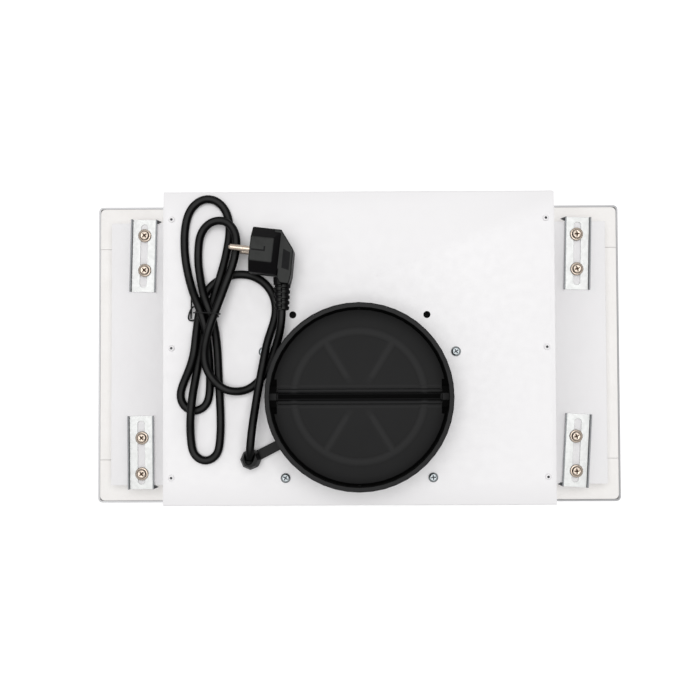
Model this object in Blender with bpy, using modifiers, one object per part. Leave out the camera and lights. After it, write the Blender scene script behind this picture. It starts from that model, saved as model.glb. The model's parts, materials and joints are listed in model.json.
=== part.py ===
"""A built-in kitchen extractor hood that lies face down, with its mains lead tied up on top of it.

Metres, with +Z up. The origin is in the middle of the visible underside, which lies at Z = 0.
+X runs along the hood and -Y is its front, where the switches are.
"""
import math

import bmesh
import bpy
import numpy as np
from mathutils import Matrix, Vector

# Clearance between touching pieces, and the sheet that the housing is folded from
GAP = 0.0003
SHEET = 0.001

# Bottom frame, a shallow tray whose underside shows in the kitchen
FRAME_LENGTH = 0.525
FRAME_WIDTH = 0.298
FRAME_LIP_HEIGHT = 0.008
FRAME_LIP_WALL = 0.0018
FRAME_FLOOR = 0.002
FRAME_CORNER = 0.004

# Seal that lies in the tray round the housing
SEAL_CORNER = 0.0045
SEAL_SIDE_GAP = 0.0003
SEAL_PROUD = 0.0004
SEAL_JOINT_INSET = 0.043

# Housing: a wide low box, set in from the frame's edges, with a narrower, taller body on it
BOX_END_INSET = 0.018
BOX_SIDE_INSET = 0.0195
SHOULDER_Z = 0.028
BODY_LENGTH = 0.323
TOP_Z = 0.192
BEND_RADIUS = 0.0016
SIDE_FLANGE = 0.015

# Blind rivets that join the cover to the side panels
RIVET_HEAD_RADIUS = 0.0026
RIVET_HEAD_HEIGHT = 0.0011
RIVET_SHANK_RADIUS = 0.0015
RIVET_LENGTH = 0.004
RIVET_MARK_RADIUS = 0.0010
RIVET_EDGE = 0.007
RIVET_END_INSET = 0.023

# Duct collar with its two damper flaps, set back from the front of the housing
COLLAR_FRONT_INSET = 0.0895
COLLAR_RADIUS = 0.0745
COLLAR_HEIGHT = 0.040
COLLAR_WALL = 0.0022
COLLAR_STEPS = 48
RIM_WIDTH = 0.0036
RIM_DEPTH = 0.005
RIM_CHAMFER = 0.0008
SPIGOT_STEP = 0.003
SPIGOT_DEPTH = 0.009
SEAT_HEIGHT = 0.014
SEAT_WIDTH = 0.006
SEAT_DEPTH = 0.003
HINGE_OFFSET = 0.0045
HINGE_PIN_RADIUS = 0.0016
HINGE_PIN_LENGTH = 0.0037
KNUCKLE_RADIUS = 0.0021
KNUCKLE_SETBACK = 0.001
LUG_LENGTH = 0.0055
LUG_WIDTH = 0.0165
LUG_RISE = 0.005
BRIDGE_WIDTH = 0.005
BRIDGE_HEIGHT = 0.007
BRIDGE_DROP = 0.002
FLAP_EDGE_GAP = 0.0022
FLAP_THICKNESS = 0.0016
FLAP_RIB_HEIGHT = 0.0005
FLAP_RIB_WIDTH = 0.0055
FLAP_RING_RADIUS = 0.0528
FLAP_RING_WIDTH = 0.0070
FLAP_HUB_RADIUS = 0.0085
FLAP_SPOKE_ANGLE = 33.0
FLAP_NOTCH = 0.0095
NUB_WIDTH = 0.0024
NUB_DEPTH = 0.0022
NUB_HEIGHT = 0.008

# Cord outlet, moulded on an arm that leaves the collar; places on the cover are from the collar's middle
OUTLET_PLACE = (-0.0883, -0.0508)
OUTLET_RADIUS = 0.0083
OUTLET_SIDES = 8
OUTLET_HEIGHT = 0.0112
OUTLET_CROWN_RADIUS = 0.0061
OUTLET_CROWN_HEIGHT = 0.0056
OUTLET_BORE = 0.0045
OUTLET_ARM_ANGLE = 211.0
OUTLET_ARM_WIDTH = 0.0082
OUTLET_ARM_HEIGHT = 0.0045
BUSHING_LENGTH = 0.003

# Screws that hold the blower under the cover, and the two spare holes beside them
BLOWER_SCREW_PLACES = ((-0.0786, 0.0368), (0.0797, 0.0366), (-0.0606, -0.0668), (0.0604, -0.0666))
BLOWER_SCREW_HEAD_RADIUS = 0.0040
BLOWER_SCREW_HEAD_HEIGHT = 0.0024
BLOWER_SCREW_SHANK_RADIUS = 0.0019
BLOWER_SCREW_LENGTH = 0.010
SPARE_HOLE_PLACES = ((-0.0545, 0.0672), (0.0560, 0.0670))
SPARE_HOLE_RADIUS = 0.0029

# Clamp brackets: how far their screws and middles lie in from the housing's end and side, and their tilts
CLAMPS = {
    "rear_left": {"screw_x": 0.0332, "screw_y": (0.0470, 0.0126), "middle": (0.0322, 0.0326), "tilt": -1.4},
    "rear_right": {"screw_x": 0.0287, "screw_y": (0.0474, 0.0130), "middle": (0.0282, 0.0320), "tilt": -1.5},
    "front_left": {"screw_x": 0.0309, "screw_y": (0.0465, 0.0113), "middle": (0.0301, 0.0322), "tilt": 0.6},
    "front_right": {"screw_x": 0.0312, "screw_y": (0.0468, 0.0127), "middle": (0.0307, 0.0329), "tilt": -3.4},
}
CLAMP_LENGTH = 0.0719
CLAMP_PLATE_WIDTH = 0.0222
CLAMP_SPLAY = 0.0004
CLAMP_TAB_REACH = 0.0046
CLAMP_TAB_LENGTH = 0.0038
CLAMP_TAB_HEIGHT = 0.0030
CLAMP_HEIGHT = 0.0045
CLAMP_SHEET = 0.0014
CLAMP_SLOT_LENGTH = 0.0625
CLAMP_SLOT_WIDTH = 0.0070
CLAMP_FLANGE_RADIUS = 0.0064
CLAMP_FLANGE_HEIGHT = 0.0012
CLAMP_CROWN_RADIUS = 0.0046
CLAMP_CROWN_HEIGHT = 0.0026
CLAMP_SHANK_RADIUS = 0.0019
CLAMP_SHANK_BELOW = 0.007

# Cross recess in the screw heads
RECESS_LENGTH = 0.0042
RECESS_WIDTH = 0.0013
RECESS_DEPTH = 0.0014

# Plug, an angled one that lies on its side with its pins one above the other
PLUG_FACE_PLACE = (-0.0864, 0.1181)
PLUG_TURN = -6.6
PLUG_RADIUS = 0.0183
PLUG_FLAT = 0.0095
PLUG_FRONT_DEPTH = 0.0185
PLUG_NECK_RADIUS = 0.0150
PLUG_GRIP_OUTLINE = (
    (0.0205, 0.0165), (0.0228, 0.0175), (0.0342, 0.0034), (0.0343, -0.0166), (0.0336, -0.0215),
    (0.0205, -0.0215),
)
PLUG_GRIP_HEIGHT = 0.025
PLUG_PIN_RADIUS = 0.0024
PLUG_PIN_LENGTH = 0.0175
PLUG_PIN_SOCKET = 0.006
PLUG_PIN_PITCH = 0.019
RELIEF_START = (0.0270, -0.0190)
RELIEF_END = (0.0297, -0.0452)
RELIEF_START_RADIUS = 0.0068
RELIEF_END_RADIUS = 0.0052
RELIEF_BORE_DEPTH = 0.0034

# Tie round the folded lead
TIE_MIDDLE = (-0.124, 0.068)
TIE_TURN = 17.0
TIE_RADIUS = 0.0005
TIE_REACH = 0.020
TIE_SLACK = 0.0008
TIE_STEPS = 24

# Blower: a scroll casing with an axis along X and a round neck on its outlet
BLOWER_SETBACK = 0.060
BLOWER_DEPTH = 0.094
SCROLL_RADIUS = 0.066
SCROLL_GROWTH = 0.008
SCROLL_WIDTH = 0.120
SCROLL_WALL = 0.002
SCROLL_STEP = 12.0
TONGUE_ANGLE = 128.0
NECK_CLEARANCE = 0.001
NECK_DEPTH = 0.024
OUTLET_PLATE_LENGTH = 0.180
OUTLET_PLATE_WIDTH = 0.156
OUTLET_PLATE_THICKNESS = 0.003
INLET_RADIUS = 0.046
INLET_RING_WIDTH = 0.007
INLET_RING_DEPTH = 0.005
IMPELLER_RADIUS = 0.056
IMPELLER_WIDTH = 0.092
IMPELLER_DISC = 0.002
IMPELLER_HUB_RADIUS = 0.010
IMPELLER_HUB_LENGTH = 0.030
BLADE_COUNT = 18
BLADE_DEPTH = 0.012
BLADE_THICKNESS = 0.0014
BLADE_ANGLE = 25.0
SHAFT_RADIUS = 0.004
SHAFT_HOLE_RADIUS = 0.012
MOTOR_RADIUS = 0.041
MOTOR_LENGTH = 0.056
MOTOR_BORE_DEPTH = 0.016
MOTOR_PLATE_RADIUS = 0.054
MOTOR_PLATE_THICKNESS = 0.003

# Electrics on the right side panel
TERMINAL_BOX_SIZE = (0.030, 0.070, 0.080)
TERMINAL_BOX_REAR_INSET = 0.0545
TERMINAL_BOX_DEPTH = 0.132
CAPACITOR_RADIUS = 0.013
CAPACITOR_HEIGHT = 0.042

# Grease filter in the bottom frame, set in from the housing's sides
FILTER_END_INSET = 0.0945
FILTER_FRONT_INSET = 0.0475
FILTER_REAR_INSET = 0.0115
FILTER_HEIGHT = 0.008
FILTER_BORDER = 0.013
FILTER_FACE_Z = 0.001
FILTER_LEDGE = 0.004
FILTER_LEDGE_HEIGHT = 0.002
FILTER_MESH_THICKNESS = 0.003
FILTER_SLOT_COUNT = 9
FILTER_SLOT_WIDTH = 0.010
FILTER_SLOT_MARGIN = 0.010

# Switch panel with its push buttons
PANEL_LENGTH = 0.132
PANEL_WIDTH = 0.024
PANEL_FRONT_INSET = 0.0235
PANEL_THICKNESS = 0.002
PANEL_BORDER = 0.005
BUTTON_COUNT = 4
BUTTON_LENGTH = 0.018
BUTTON_WIDTH = 0.010
BUTTON_PITCH = 0.028
BUTTON_FACE_Z = 0.0005
BUTTON_FLANGE = 0.0015
BUTTON_FLANGE_HEIGHT = 0.0015
BUTTON_TRAVEL = 0.0025
SWITCH_BLOCK_HEIGHT = 0.010
SWITCH_FOOT = 0.004

# Lamps in the two ends of the bottom frame
LAMP_END_INSET = 0.0415
LAMP_RADIUS = 0.029
LAMP_FLANGE_WIDTH = 0.003
LAMP_FLANGE_HEIGHT = 0.0017
LAMP_HEIGHT = 0.012
LAMP_FACE_Z = 0.0005
LENS_RADIUS = 0.024
LENS_THICKNESS = 0.0025
LENS_LEDGE = 0.003
REFLECTOR_DEPTH = 0.006

# Mains lead: its diameter, and its route from the outlet to the plug as (x, y, height over the cover),
# with x and y from the collar's middle
CORD_DIAMETER = 0.0062
CORD_POINTS = 80
CORD_ROUTE = (
    (-0.0888, -0.0496, 0.0149), (-0.0875, -0.0407, 0.0209), (-0.0863, -0.0296, 0.0224),
    (-0.0847, -0.0155, 0.0190), (-0.0826, 0.0003, 0.0146), (-0.0801, 0.0157, 0.0124),
    (-0.0773, 0.0311, 0.0108), (-0.0744, 0.0459, 0.0074), (-0.0704, 0.0591, 0.0042),
    (-0.0683, 0.0715, 0.0034), (-0.0707, 0.0834, 0.0034), (-0.0774, 0.0929, 0.0034),
    (-0.0869, 0.0987, 0.0034), (-0.0968, 0.1004, 0.0034), (-0.1062, 0.0993, 0.0034),
    (-0.1157, 0.0952, 0.0036), (-0.1231, 0.0886, 0.0038), (-0.1279, 0.0799, 0.0044),
    (-0.1308, 0.0692, 0.0049), (-0.1322, 0.0576, 0.0073), (-0.1330, 0.0476, 0.0098),
    (-0.1343, 0.0362, 0.0105), (-0.1379, 0.0241, 0.0084), (-0.1434, 0.0119, 0.0050),
    (-0.1463, 0.0012, 0.0034), (-0.1432, -0.0073, 0.0034), (-0.1345, -0.0113, 0.0034),
    (-0.1259, -0.0067, 0.0034), (-0.1227, 0.0028, 0.0034), (-0.1223, 0.0175, 0.0035),
    (-0.1229, 0.0347, 0.0060), (-0.1239, 0.0492, 0.0097), (-0.1263, 0.0622, 0.0121),
    (-0.1301, 0.0731, 0.0123), (-0.1351, 0.0845, 0.0081), (-0.1393, 0.0972, 0.0043),
    (-0.1423, 0.1122, 0.0034), (-0.1433, 0.1287, 0.0034), (-0.1415, 0.1452, 0.0034),
    (-0.1356, 0.1571, 0.0034), (-0.1247, 0.1627, 0.0034), (-0.1138, 0.1586, 0.0034),
    (-0.1077, 0.1484, 0.0034), (-0.1061, 0.1363, 0.0040), (-0.1073, 0.1232, 0.0064),
    (-0.1097, 0.1097, 0.0094), (-0.1134, 0.0959, 0.0111), (-0.1179, 0.0828, 0.0078),
    (-0.1214, 0.0732, 0.0054), (-0.1246, 0.0618, 0.0047), (-0.1279, 0.0479, 0.0038),
    (-0.1310, 0.0339, 0.0034), (-0.1331, 0.0192, 0.0046), (-0.1351, 0.0045, 0.0088),
    (-0.1365, -0.0092, 0.0108), (-0.1376, -0.0232, 0.0078), (-0.1374, -0.0372, 0.0042),
    (-0.1344, -0.0474, 0.0034), (-0.1259, -0.0520, 0.0034), (-0.1174, -0.0476, 0.0034),
    (-0.1143, -0.0377, 0.0034), (-0.1135, -0.0226, 0.0034), (-0.1141, -0.0030, 0.0034),
    (-0.1151, 0.0167, 0.0034), (-0.1159, 0.0347, 0.0037), (-0.1170, 0.0502, 0.0066),
    (-0.1191, 0.0630, 0.0110), (-0.1226, 0.0731, 0.0130), (-0.1263, 0.0834, 0.0111),
    (-0.1296, 0.0961, 0.0065), (-0.1317, 0.1096, 0.0039), (-0.1317, 0.1211, 0.0039),
    (-0.1296, 0.1324, 0.0058), (-0.1235, 0.1406, 0.0082), (-0.1145, 0.1438, 0.0103),
    (-0.1054, 0.1406, 0.0126), (-0.1000, 0.1319, 0.0150), (-0.0992, 0.1210, 0.0162),
    (-0.1018, 0.1080, 0.0161), (-0.1064, 0.0950, 0.0161), (-0.1111, 0.0820, 0.0171),
    (-0.1156, 0.0698, 0.0182), (-0.1201, 0.0578, 0.0177), (-0.1236, 0.0457, 0.0157),
    (-0.1254, 0.0345, 0.0126), (-0.1240, 0.0236, 0.0110), (-0.1183, 0.0138, 0.0106),
    (-0.1099, 0.0067, 0.0103), (-0.1000, 0.0044, 0.0078), (-0.0901, 0.0067, 0.0046),
    (-0.0812, 0.0141, 0.0034), (-0.0747, 0.0240, 0.0040), (-0.0695, 0.0362, 0.0074),
    (-0.0650, 0.0488, 0.0138), (-0.0626, 0.0603, 0.0183), (-0.0620, 0.0720, 0.0187),
)

# Sizes that follow from the ones above
HALF_BOX = FRAME_LENGTH / 2 - BOX_END_INSET
HALF_WIDTH = FRAME_WIDTH / 2 - BOX_SIDE_INSET
HALF_BODY = BODY_LENGTH / 2
ON_FLOOR = FRAME_FLOOR + GAP
ON_SHOULDER = SHOULDER_Z + GAP
ON_COVER = TOP_Z + GAP
UNDER_COVER = TOP_Z - SHEET - GAP
SEAL_JOINT_Y = FRAME_WIDTH / 2 - SEAL_JOINT_INSET
RIVET_PITCH = HALF_WIDTH - RIVET_END_INSET
COLLAR_Y = COLLAR_FRONT_INSET - HALF_WIDTH
SPIGOT_RADIUS = COLLAR_RADIUS - SPIGOT_STEP
BORE_RADIUS = COLLAR_RADIUS - COLLAR_WALL
SEAT_TOP = TOP_Z + SEAT_HEIGHT
HINGE_Z = SEAT_TOP + GAP + FLAP_THICKNESS / 2
FLAP_RADIUS = BORE_RADIUS - FLAP_EDGE_GAP
FLAP_SIDE = BORE_RADIUS - LUG_LENGTH - GAP
CLAMP_TOP = ON_SHOULDER + CLAMP_SHEET
BLOWER_Y = COLLAR_Y + BLOWER_SETBACK
BLOWER_Z = TOP_Z - BLOWER_DEPTH
NECK_FLOOR_Z = TOP_Z - NECK_DEPTH
SCROLL_SIDE = SCROLL_WIDTH / 2
TERMINAL_BOX_Y = HALF_WIDTH - TERMINAL_BOX_REAR_INSET
TERMINAL_BOX_Z = TOP_Z - TERMINAL_BOX_DEPTH
FILTER_LENGTH = 2 * (HALF_BOX - FILTER_END_INSET)
FILTER_WIDTH = 2 * HALF_WIDTH - FILTER_FRONT_INSET - FILTER_REAR_INSET
FILTER_Y = (FILTER_FRONT_INSET - FILTER_REAR_INSET) / 2
FILTER_REAR = FILTER_Y + FILTER_WIDTH / 2 - GAP
PANEL_Y = PANEL_FRONT_INSET - HALF_WIDTH
PANEL_TOP = ON_FLOOR + PANEL_THICKNESS
BUTTON_TOP = PANEL_TOP + GAP + BUTTON_FLANGE_HEIGHT
LAMP_X = HALF_BOX - LAMP_END_INSET
CORD_RADIUS = CORD_DIAMETER / 2
FAR = 0.05

# Looks: colour, metallic value and roughness
WHITE_PAINT = ((0.90, 0.89, 0.89), 0.0, 0.35)
CREAM_FOAM = ((0.88, 0.85, 0.82), 0.0, 0.8)
BLACK_PLASTIC = ((0.018, 0.018, 0.019), 0.0, 0.42)
GREY_PLASTIC = ((0.035, 0.036, 0.037), 0.0, 0.5)
BLACK_RUBBER = ((0.012, 0.012, 0.013), 0.0, 0.4)
ZINC = ((0.62, 0.63, 0.62), 1.0, 0.32)
NICKEL = ((0.62, 0.56, 0.49), 1.0, 0.3)
ALUMINIUM = ((0.72, 0.72, 0.72), 1.0, 0.4)
CLEAR = ((0.80, 0.83, 0.85), 0.0, 0.15)

for old in list(bpy.data.objects):
    bpy.data.objects.remove(old, do_unlink=True)

HOOD = bpy.data.collections.new("extractor_hood")
CUTTERS = bpy.data.collections.new("cutters")
for group in (HOOD, CUTTERS):
    bpy.context.scene.collection.children.link(group)


def place(name, data, look, location=(0, 0, 0), rotation=(0, 0, 0)):
    """Put a named piece in the hood with a material of its own."""
    colour, metallic, roughness = look
    paint = bpy.data.materials.new(name)
    paint.use_nodes = True
    shader = paint.node_tree.nodes["Principled BSDF"]
    shader.inputs["Base Color"].default_value = (*colour, 1.0)
    shader.inputs["Metallic"].default_value = metallic
    shader.inputs["Roughness"].default_value = roughness
    data.materials.append(paint)
    piece = bpy.data.objects.new(name, data)
    piece.location = location
    piece.rotation_euler = rotation
    HOOD.objects.link(piece)
    return piece


def as_mesh(name, bm):
    """Turn a bmesh into mesh data with its faces pointing outward."""
    bmesh.ops.recalc_face_normals(bm, faces=bm.faces)
    mesh = bpy.data.meshes.new(name)
    bm.to_mesh(mesh)
    bm.free()
    return mesh


def shape_with(piece, operation, bm):
    """Cut a tool out of a piece, or fuse it on, with the tool in the piece's own frame."""
    tool = bpy.data.objects.new(f"{piece.name}_{operation.lower()}_{len(piece.modifiers)}",
                                as_mesh(f"{piece.name}_tool", bm))
    tool.location = piece.location
    tool.rotation_euler = piece.rotation_euler
    tool.hide_render = True
    tool.display_type = "WIRE"
    CUTTERS.objects.link(tool)
    step = piece.modifiers.new(operation.title(), "BOOLEAN")
    step.operation = operation
    step.solver = "EXACT"
    step.object = tool


def cut(piece, bm):
    shape_with(piece, "DIFFERENCE", bm)


def fuse(piece, bm):
    shape_with(piece, "UNION", bm)


def add_box(bm, low, high):
    """A box between two corners."""
    low, high = Vector(low), Vector(high)
    spread = Matrix.LocRotScale((low + high) / 2, None, high - low)
    return bmesh.ops.create_cube(bm, size=1.0, matrix=spread)["verts"]


def add_rounded_box(bm, low, high, radius, segments=3):
    """A box with its upright edges rounded."""
    verts = add_box(bm, low, high)
    edges = {edge for vert in verts for edge in vert.link_edges}
    upright = [edge for edge in edges if abs((edge.verts[0].co - edge.verts[1].co).z) > GAP]
    bmesh.ops.bevel(bm, geom=upright, offset=radius, segments=segments, profile=0.5, affect="EDGES")


def add_rod(bm, start, end, radius, segments=24, end_radius=None):
    """A round rod or cone from one point to another."""
    start, end = Vector(start), Vector(end)
    turn = (end - start).to_track_quat("Z", "Y")
    bmesh.ops.create_cone(
        bm, cap_ends=True, segments=segments, radius1=radius,
        radius2=radius if end_radius is None else end_radius, depth=(end - start).length,
        matrix=Matrix.LocRotScale((start + end) / 2, turn, None))


def add_prism(bm, outline, axis, low, high):
    """A flat outline drawn out along an axis; across X it is (y, z), across Y (x, z), across Z (x, y)."""
    spots = {
        "X": lambda a, b, c: (c, a, b),
        "Y": lambda a, b, c: (a, c, b),
        "Z": lambda a, b, c: (a, b, c),
    }
    face = bm.faces.new([bm.verts.new(spots[axis](a, b, low)) for a, b in outline])
    grown = bmesh.ops.extrude_face_region(bm, geom=[face])["geom"]
    moved = [item for item in grown if isinstance(item, bmesh.types.BMVert)]
    bmesh.ops.translate(bm, verts=moved, vec=spots[axis](0, 0, high - low))


def add_cross(bm, x, y, top):
    """A cross recess that goes down from a screw head's top."""
    long, short = RECESS_LENGTH / 2, RECESS_WIDTH / 2
    half = ((-long, -short), (-short, -short), (-short, -long),
            (short, -long), (short, -short), (long, -short))
    outline = half + tuple((-a, -b) for a, b in half)
    add_prism(bm, [(x + a, y + b) for a, b in outline], "Z", top - RECESS_DEPTH, top + FAR)


def turned(name, profile, steps, look, location=(0, 0, 0), rotation=(0, 0, 0)):
    """A piece turned about its own Z from (radius, height) points, from axis to axis or round a ring."""
    edges = [(i, i + 1) for i in range(len(profile) - 1)]
    if profile[0][0] > 0:
        edges.append((len(profile) - 1, 0))
    mesh = bpy.data.meshes.new(name)
    mesh.from_pydata([(r, 0, z) for r, z in profile], edges, [])
    piece = place(name, mesh, look, location, rotation)
    turn = piece.modifiers.new("Turn", "SCREW")
    turn.axis = "Z"
    turn.steps = steps
    turn.render_steps = steps
    turn.use_merge_vertices = True
    turn.merge_threshold = 0.00001
    return piece


def solid(name, look, location=(0, 0, 0), rotation=(0, 0, 0)):
    """Start a piece as a bmesh; the returned pair is the bmesh and what finishes the piece."""
    bm = bmesh.new()

    def finish():
        return place(name, as_mesh(name, bm), look, location, rotation)
    return bm, finish


def bottom_frame():
    bm, finish = solid("bottom_frame", WHITE_PAINT)
    half_l, half_w = FRAME_LENGTH / 2, FRAME_WIDTH / 2
    add_rounded_box(bm, (-half_l, -half_w, 0), (half_l, half_w, FRAME_LIP_HEIGHT), FRAME_CORNER)
    frame = finish()
    tray = bmesh.new()
    half_l -= FRAME_LIP_WALL
    half_w -= FRAME_LIP_WALL
    inner_corner = FRAME_CORNER - FRAME_LIP_WALL
    add_rounded_box(tray, (-half_l, -half_w, FRAME_FLOOR), (half_l, half_w, FAR), inner_corner)
    cut(frame, tray)
    holes = bmesh.new()
    add_box(holes, (-FILTER_LENGTH / 2, FILTER_Y - FILTER_WIDTH / 2, -FAR),
            (FILTER_LENGTH / 2, FILTER_Y + FILTER_WIDTH / 2, FAR))
    panel_l, panel_w = PANEL_LENGTH / 2 - PANEL_BORDER, PANEL_WIDTH / 2 - PANEL_BORDER
    add_box(holes, (-panel_l, PANEL_Y - panel_w, -FAR), (panel_l, PANEL_Y + panel_w, FAR))
    for side in (-1, 1):
        add_rod(holes, (side * LAMP_X, 0, -FAR), (side * LAMP_X, 0, FAR), LAMP_RADIUS + GAP, 32)
    cut(frame, holes)


def seals():
    top = FRAME_LIP_HEIGHT + SEAL_PROUD
    out_x = FRAME_LENGTH / 2 - FRAME_LIP_WALL - SEAL_SIDE_GAP
    out_y = FRAME_WIDTH / 2 - FRAME_LIP_WALL - SEAL_SIDE_GAP
    in_x, in_y = HALF_BOX + GAP, HALF_WIDTH + GAP
    for name, side in (("seal_left", -1), ("seal_right", 1)):
        bm, finish = solid(name, CREAM_FOAM)
        low, high = sorted((side * in_x, side * out_x))
        add_box(bm, (low, -SEAL_JOINT_Y, ON_FLOOR), (high, SEAL_JOINT_Y, top))
        finish()
    for name, side in (("seal_front", -1), ("seal_rear", 1)):
        bm, finish = solid(name, CREAM_FOAM)
        add_rounded_box(bm, (-out_x, -out_y, ON_FLOOR), (out_x, out_y, top), SEAL_CORNER)
        seal = finish()
        middle = bmesh.new()
        add_box(middle, (-in_x, -in_y, -FAR), (in_x, in_y, FAR))
        cut(seal, middle)
        other_side = bmesh.new()
        low, high = sorted((side * (SEAL_JOINT_Y + GAP), -side * FRAME_WIDTH))
        add_box(other_side, (-FRAME_LENGTH, low, -FAR), (FRAME_LENGTH, high, FAR))
        cut(seal, other_side)


def rivet_places():
    edge = HALF_BODY - RIVET_EDGE
    return [(side * edge, row * RIVET_PITCH) for side in (-1, 1) for row in (1, 0, -1)]


def from_collar(place):
    """Where a place that is given from the collar's middle lies in the hood."""
    return place[0], place[1] + COLLAR_Y


def in_corner(corner, inset_x, inset_y):
    """Where a place that is given from the housing's end and side lies, for one of its corners."""
    side_x = -1 if corner.endswith("left") else 1
    side_y = -1 if corner.startswith("front") else 1
    return side_x * (HALF_BOX - inset_x), side_y * (HALF_WIDTH - inset_y)


def clamp_screw_places():
    """The name and place of each clamp screw."""
    places = {}
    for corner, clamp in CLAMPS.items():
        for rank, inset_y in zip(("inner", "outer"), clamp["screw_y"]):
            places[f"{corner}_{rank}"] = in_corner(corner, clamp["screw_x"], inset_y)
    return places


def housing_cover():
    bm, finish = solid("housing_cover", WHITE_PAINT)
    verts = add_box(bm, (-HALF_BODY, -HALF_WIDTH, ON_FLOOR), (HALF_BODY, HALF_WIDTH, TOP_Z))
    bends = {edge for vert in verts for edge in vert.link_edges
             if all(abs(end.co.z - TOP_Z) < GAP for end in edge.verts)
             and abs(edge.verts[0].co.y - edge.verts[1].co.y) < GAP}
    bmesh.ops.bevel(bm, geom=list(bends), offset=BEND_RADIUS, segments=2, profile=0.5, affect="EDGES")
    cover = finish()
    inside = bmesh.new()
    inner = HALF_WIDTH - SHEET
    add_box(inside, (-BODY_LENGTH, -inner, -FAR), (BODY_LENGTH, inner, TOP_Z - SHEET))
    cut(cover, inside)
    holes = bmesh.new()
    through = [(0, COLLAR_Y, SPIGOT_RADIUS + GAP, COLLAR_STEPS)]
    through += [(x, y, RIVET_SHANK_RADIUS + GAP, 12) for x, y in rivet_places()]
    through += [(*from_collar(spot), BLOWER_SCREW_SHANK_RADIUS + GAP, 16) for spot in BLOWER_SCREW_PLACES]
    through += [(*from_collar(spot), SPARE_HOLE_RADIUS, 24) for spot in SPARE_HOLE_PLACES]
    for x, y, radius, segments in through:
        add_rod(holes, (x, y, TOP_Z - FAR), (x, y, TOP_Z + FAR), radius, segments)
    cut(cover, holes)


def side_panel(name, side):
    bm, finish = solid(name, WHITE_PAINT)
    inner = HALF_WIDTH - SHEET
    wall_end = inner - GAP
    start, end = HALF_BODY + GAP, HALF_BOX
    low, high = sorted((side * start, side * end))
    add_box(bm, (low, -HALF_WIDTH, ON_FLOOR), (high, HALF_WIDTH, SHOULDER_Z))
    panel = finish()
    hollow = bmesh.new()
    low, high = sorted((side * (HALF_BODY - SIDE_FLANGE), side * (end - SHEET)))
    add_box(hollow, (low, -inner, -FAR), (high, inner, SHOULDER_Z - SHEET))
    cut(panel, hollow)
    upright = bmesh.new()
    foot = start + SIDE_FLANGE
    outline = ((HALF_BODY - SIDE_FLANGE, UNDER_COVER), (HALF_BODY, UNDER_COVER), (HALF_BODY, SHOULDER_Z),
               (foot, SHOULDER_Z), (foot, SHOULDER_Z - SHEET), (HALF_BODY - SHEET, SHOULDER_Z - SHEET),
               (HALF_BODY - SHEET, UNDER_COVER - SHEET), (HALF_BODY - SIDE_FLANGE, UNDER_COVER - SHEET))
    add_prism(upright, [(side * x, z) for x, z in outline], "Y", -wall_end, wall_end)
    fuse(panel, upright)
    holes = bmesh.new()
    shanks = [(x, y, SHOULDER_Z, CLAMP_SHANK_RADIUS) for x, y in clamp_screw_places().values()]
    shanks += [(x, y, UNDER_COVER, RIVET_SHANK_RADIUS) for x, y in rivet_places()]
    for x, y, z, radius in shanks:
        if x * side > 0:
            add_rod(holes, (x, y, z - FAR), (x, y, z + FAR), radius + GAP, 12)
    cut(panel, holes)


def rivets():
    for number, (x, y) in enumerate(rivet_places(), 1):
        profile = ((0, 0), (RIVET_MARK_RADIUS, 0), (RIVET_MARK_RADIUS, RIVET_HEAD_HEIGHT),
                   (RIVET_HEAD_RADIUS * 0.7, RIVET_HEAD_HEIGHT), (RIVET_HEAD_RADIUS, 0),
                   (RIVET_SHANK_RADIUS, 0), (RIVET_SHANK_RADIUS, -RIVET_LENGTH), (0, -RIVET_LENGTH))
        turned(f"panel_rivet_{number}", profile, 12, ZINC, (x, y, ON_COVER))


def blower_screws():
    for number, spot in enumerate(BLOWER_SCREW_PLACES, 1):
        head, shank = BLOWER_SCREW_HEAD_RADIUS, BLOWER_SCREW_SHANK_RADIUS
        profile = ((0, BLOWER_SCREW_HEAD_HEIGHT), (head * 0.75, BLOWER_SCREW_HEAD_HEIGHT),
                   (head, BLOWER_SCREW_HEAD_HEIGHT * 0.45), (head, 0), (shank, 0),
                   (shank, -BLOWER_SCREW_LENGTH), (0, -BLOWER_SCREW_LENGTH))
        screw = turned(f"blower_screw_{number}", profile, 12, ZINC, (*from_collar(spot), ON_COVER))
        recess = bmesh.new()
        add_cross(recess, 0, 0, BLOWER_SCREW_HEAD_HEIGHT)
        cut(screw, recess)


def cord_path():
    """Evenly spaced points on a smooth curve through the lead's route."""
    knots = np.array(CORD_ROUTE) + (0, COLLAR_Y, TOP_Z)
    spans = np.sqrt(np.linalg.norm(np.diff(knots, axis=0), axis=1))
    at = np.concatenate(([0], np.cumsum(spans)))
    slopes = np.diff(knots, axis=0) / spans[:, None]
    system = np.eye(len(knots))
    right = np.zeros_like(knots)
    for i in range(1, len(knots) - 1):
        system[i, i - 1:i + 2] = spans[i - 1], 2 * (spans[i - 1] + spans[i]), spans[i]
        right[i] = 6 * (slopes[i] - slopes[i - 1])
    bends = np.linalg.solve(system, right)
    fine = np.linspace(0, at[-1], 40 * CORD_POINTS)
    span = np.clip(np.searchsorted(at, fine, side="right") - 1, 0, len(spans) - 1)
    width = spans[span][:, None]
    before, after = (fine - at[span])[:, None], (at[span + 1] - fine)[:, None]
    curve = (bends[span] * after ** 3 + bends[span + 1] * before ** 3) / (6 * width)
    curve += (knots[span] / width - bends[span] * width / 6) * after
    curve += (knots[span + 1] / width - bends[span + 1] * width / 6) * before
    run = np.concatenate(([0], np.cumsum(np.linalg.norm(np.diff(curve, axis=0), axis=1))))
    even = np.linspace(0, run[-1], CORD_POINTS)
    return [Vector(spot) for spot in zip(*(np.interp(even, run, curve[:, i]) for i in range(3)))]


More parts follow.
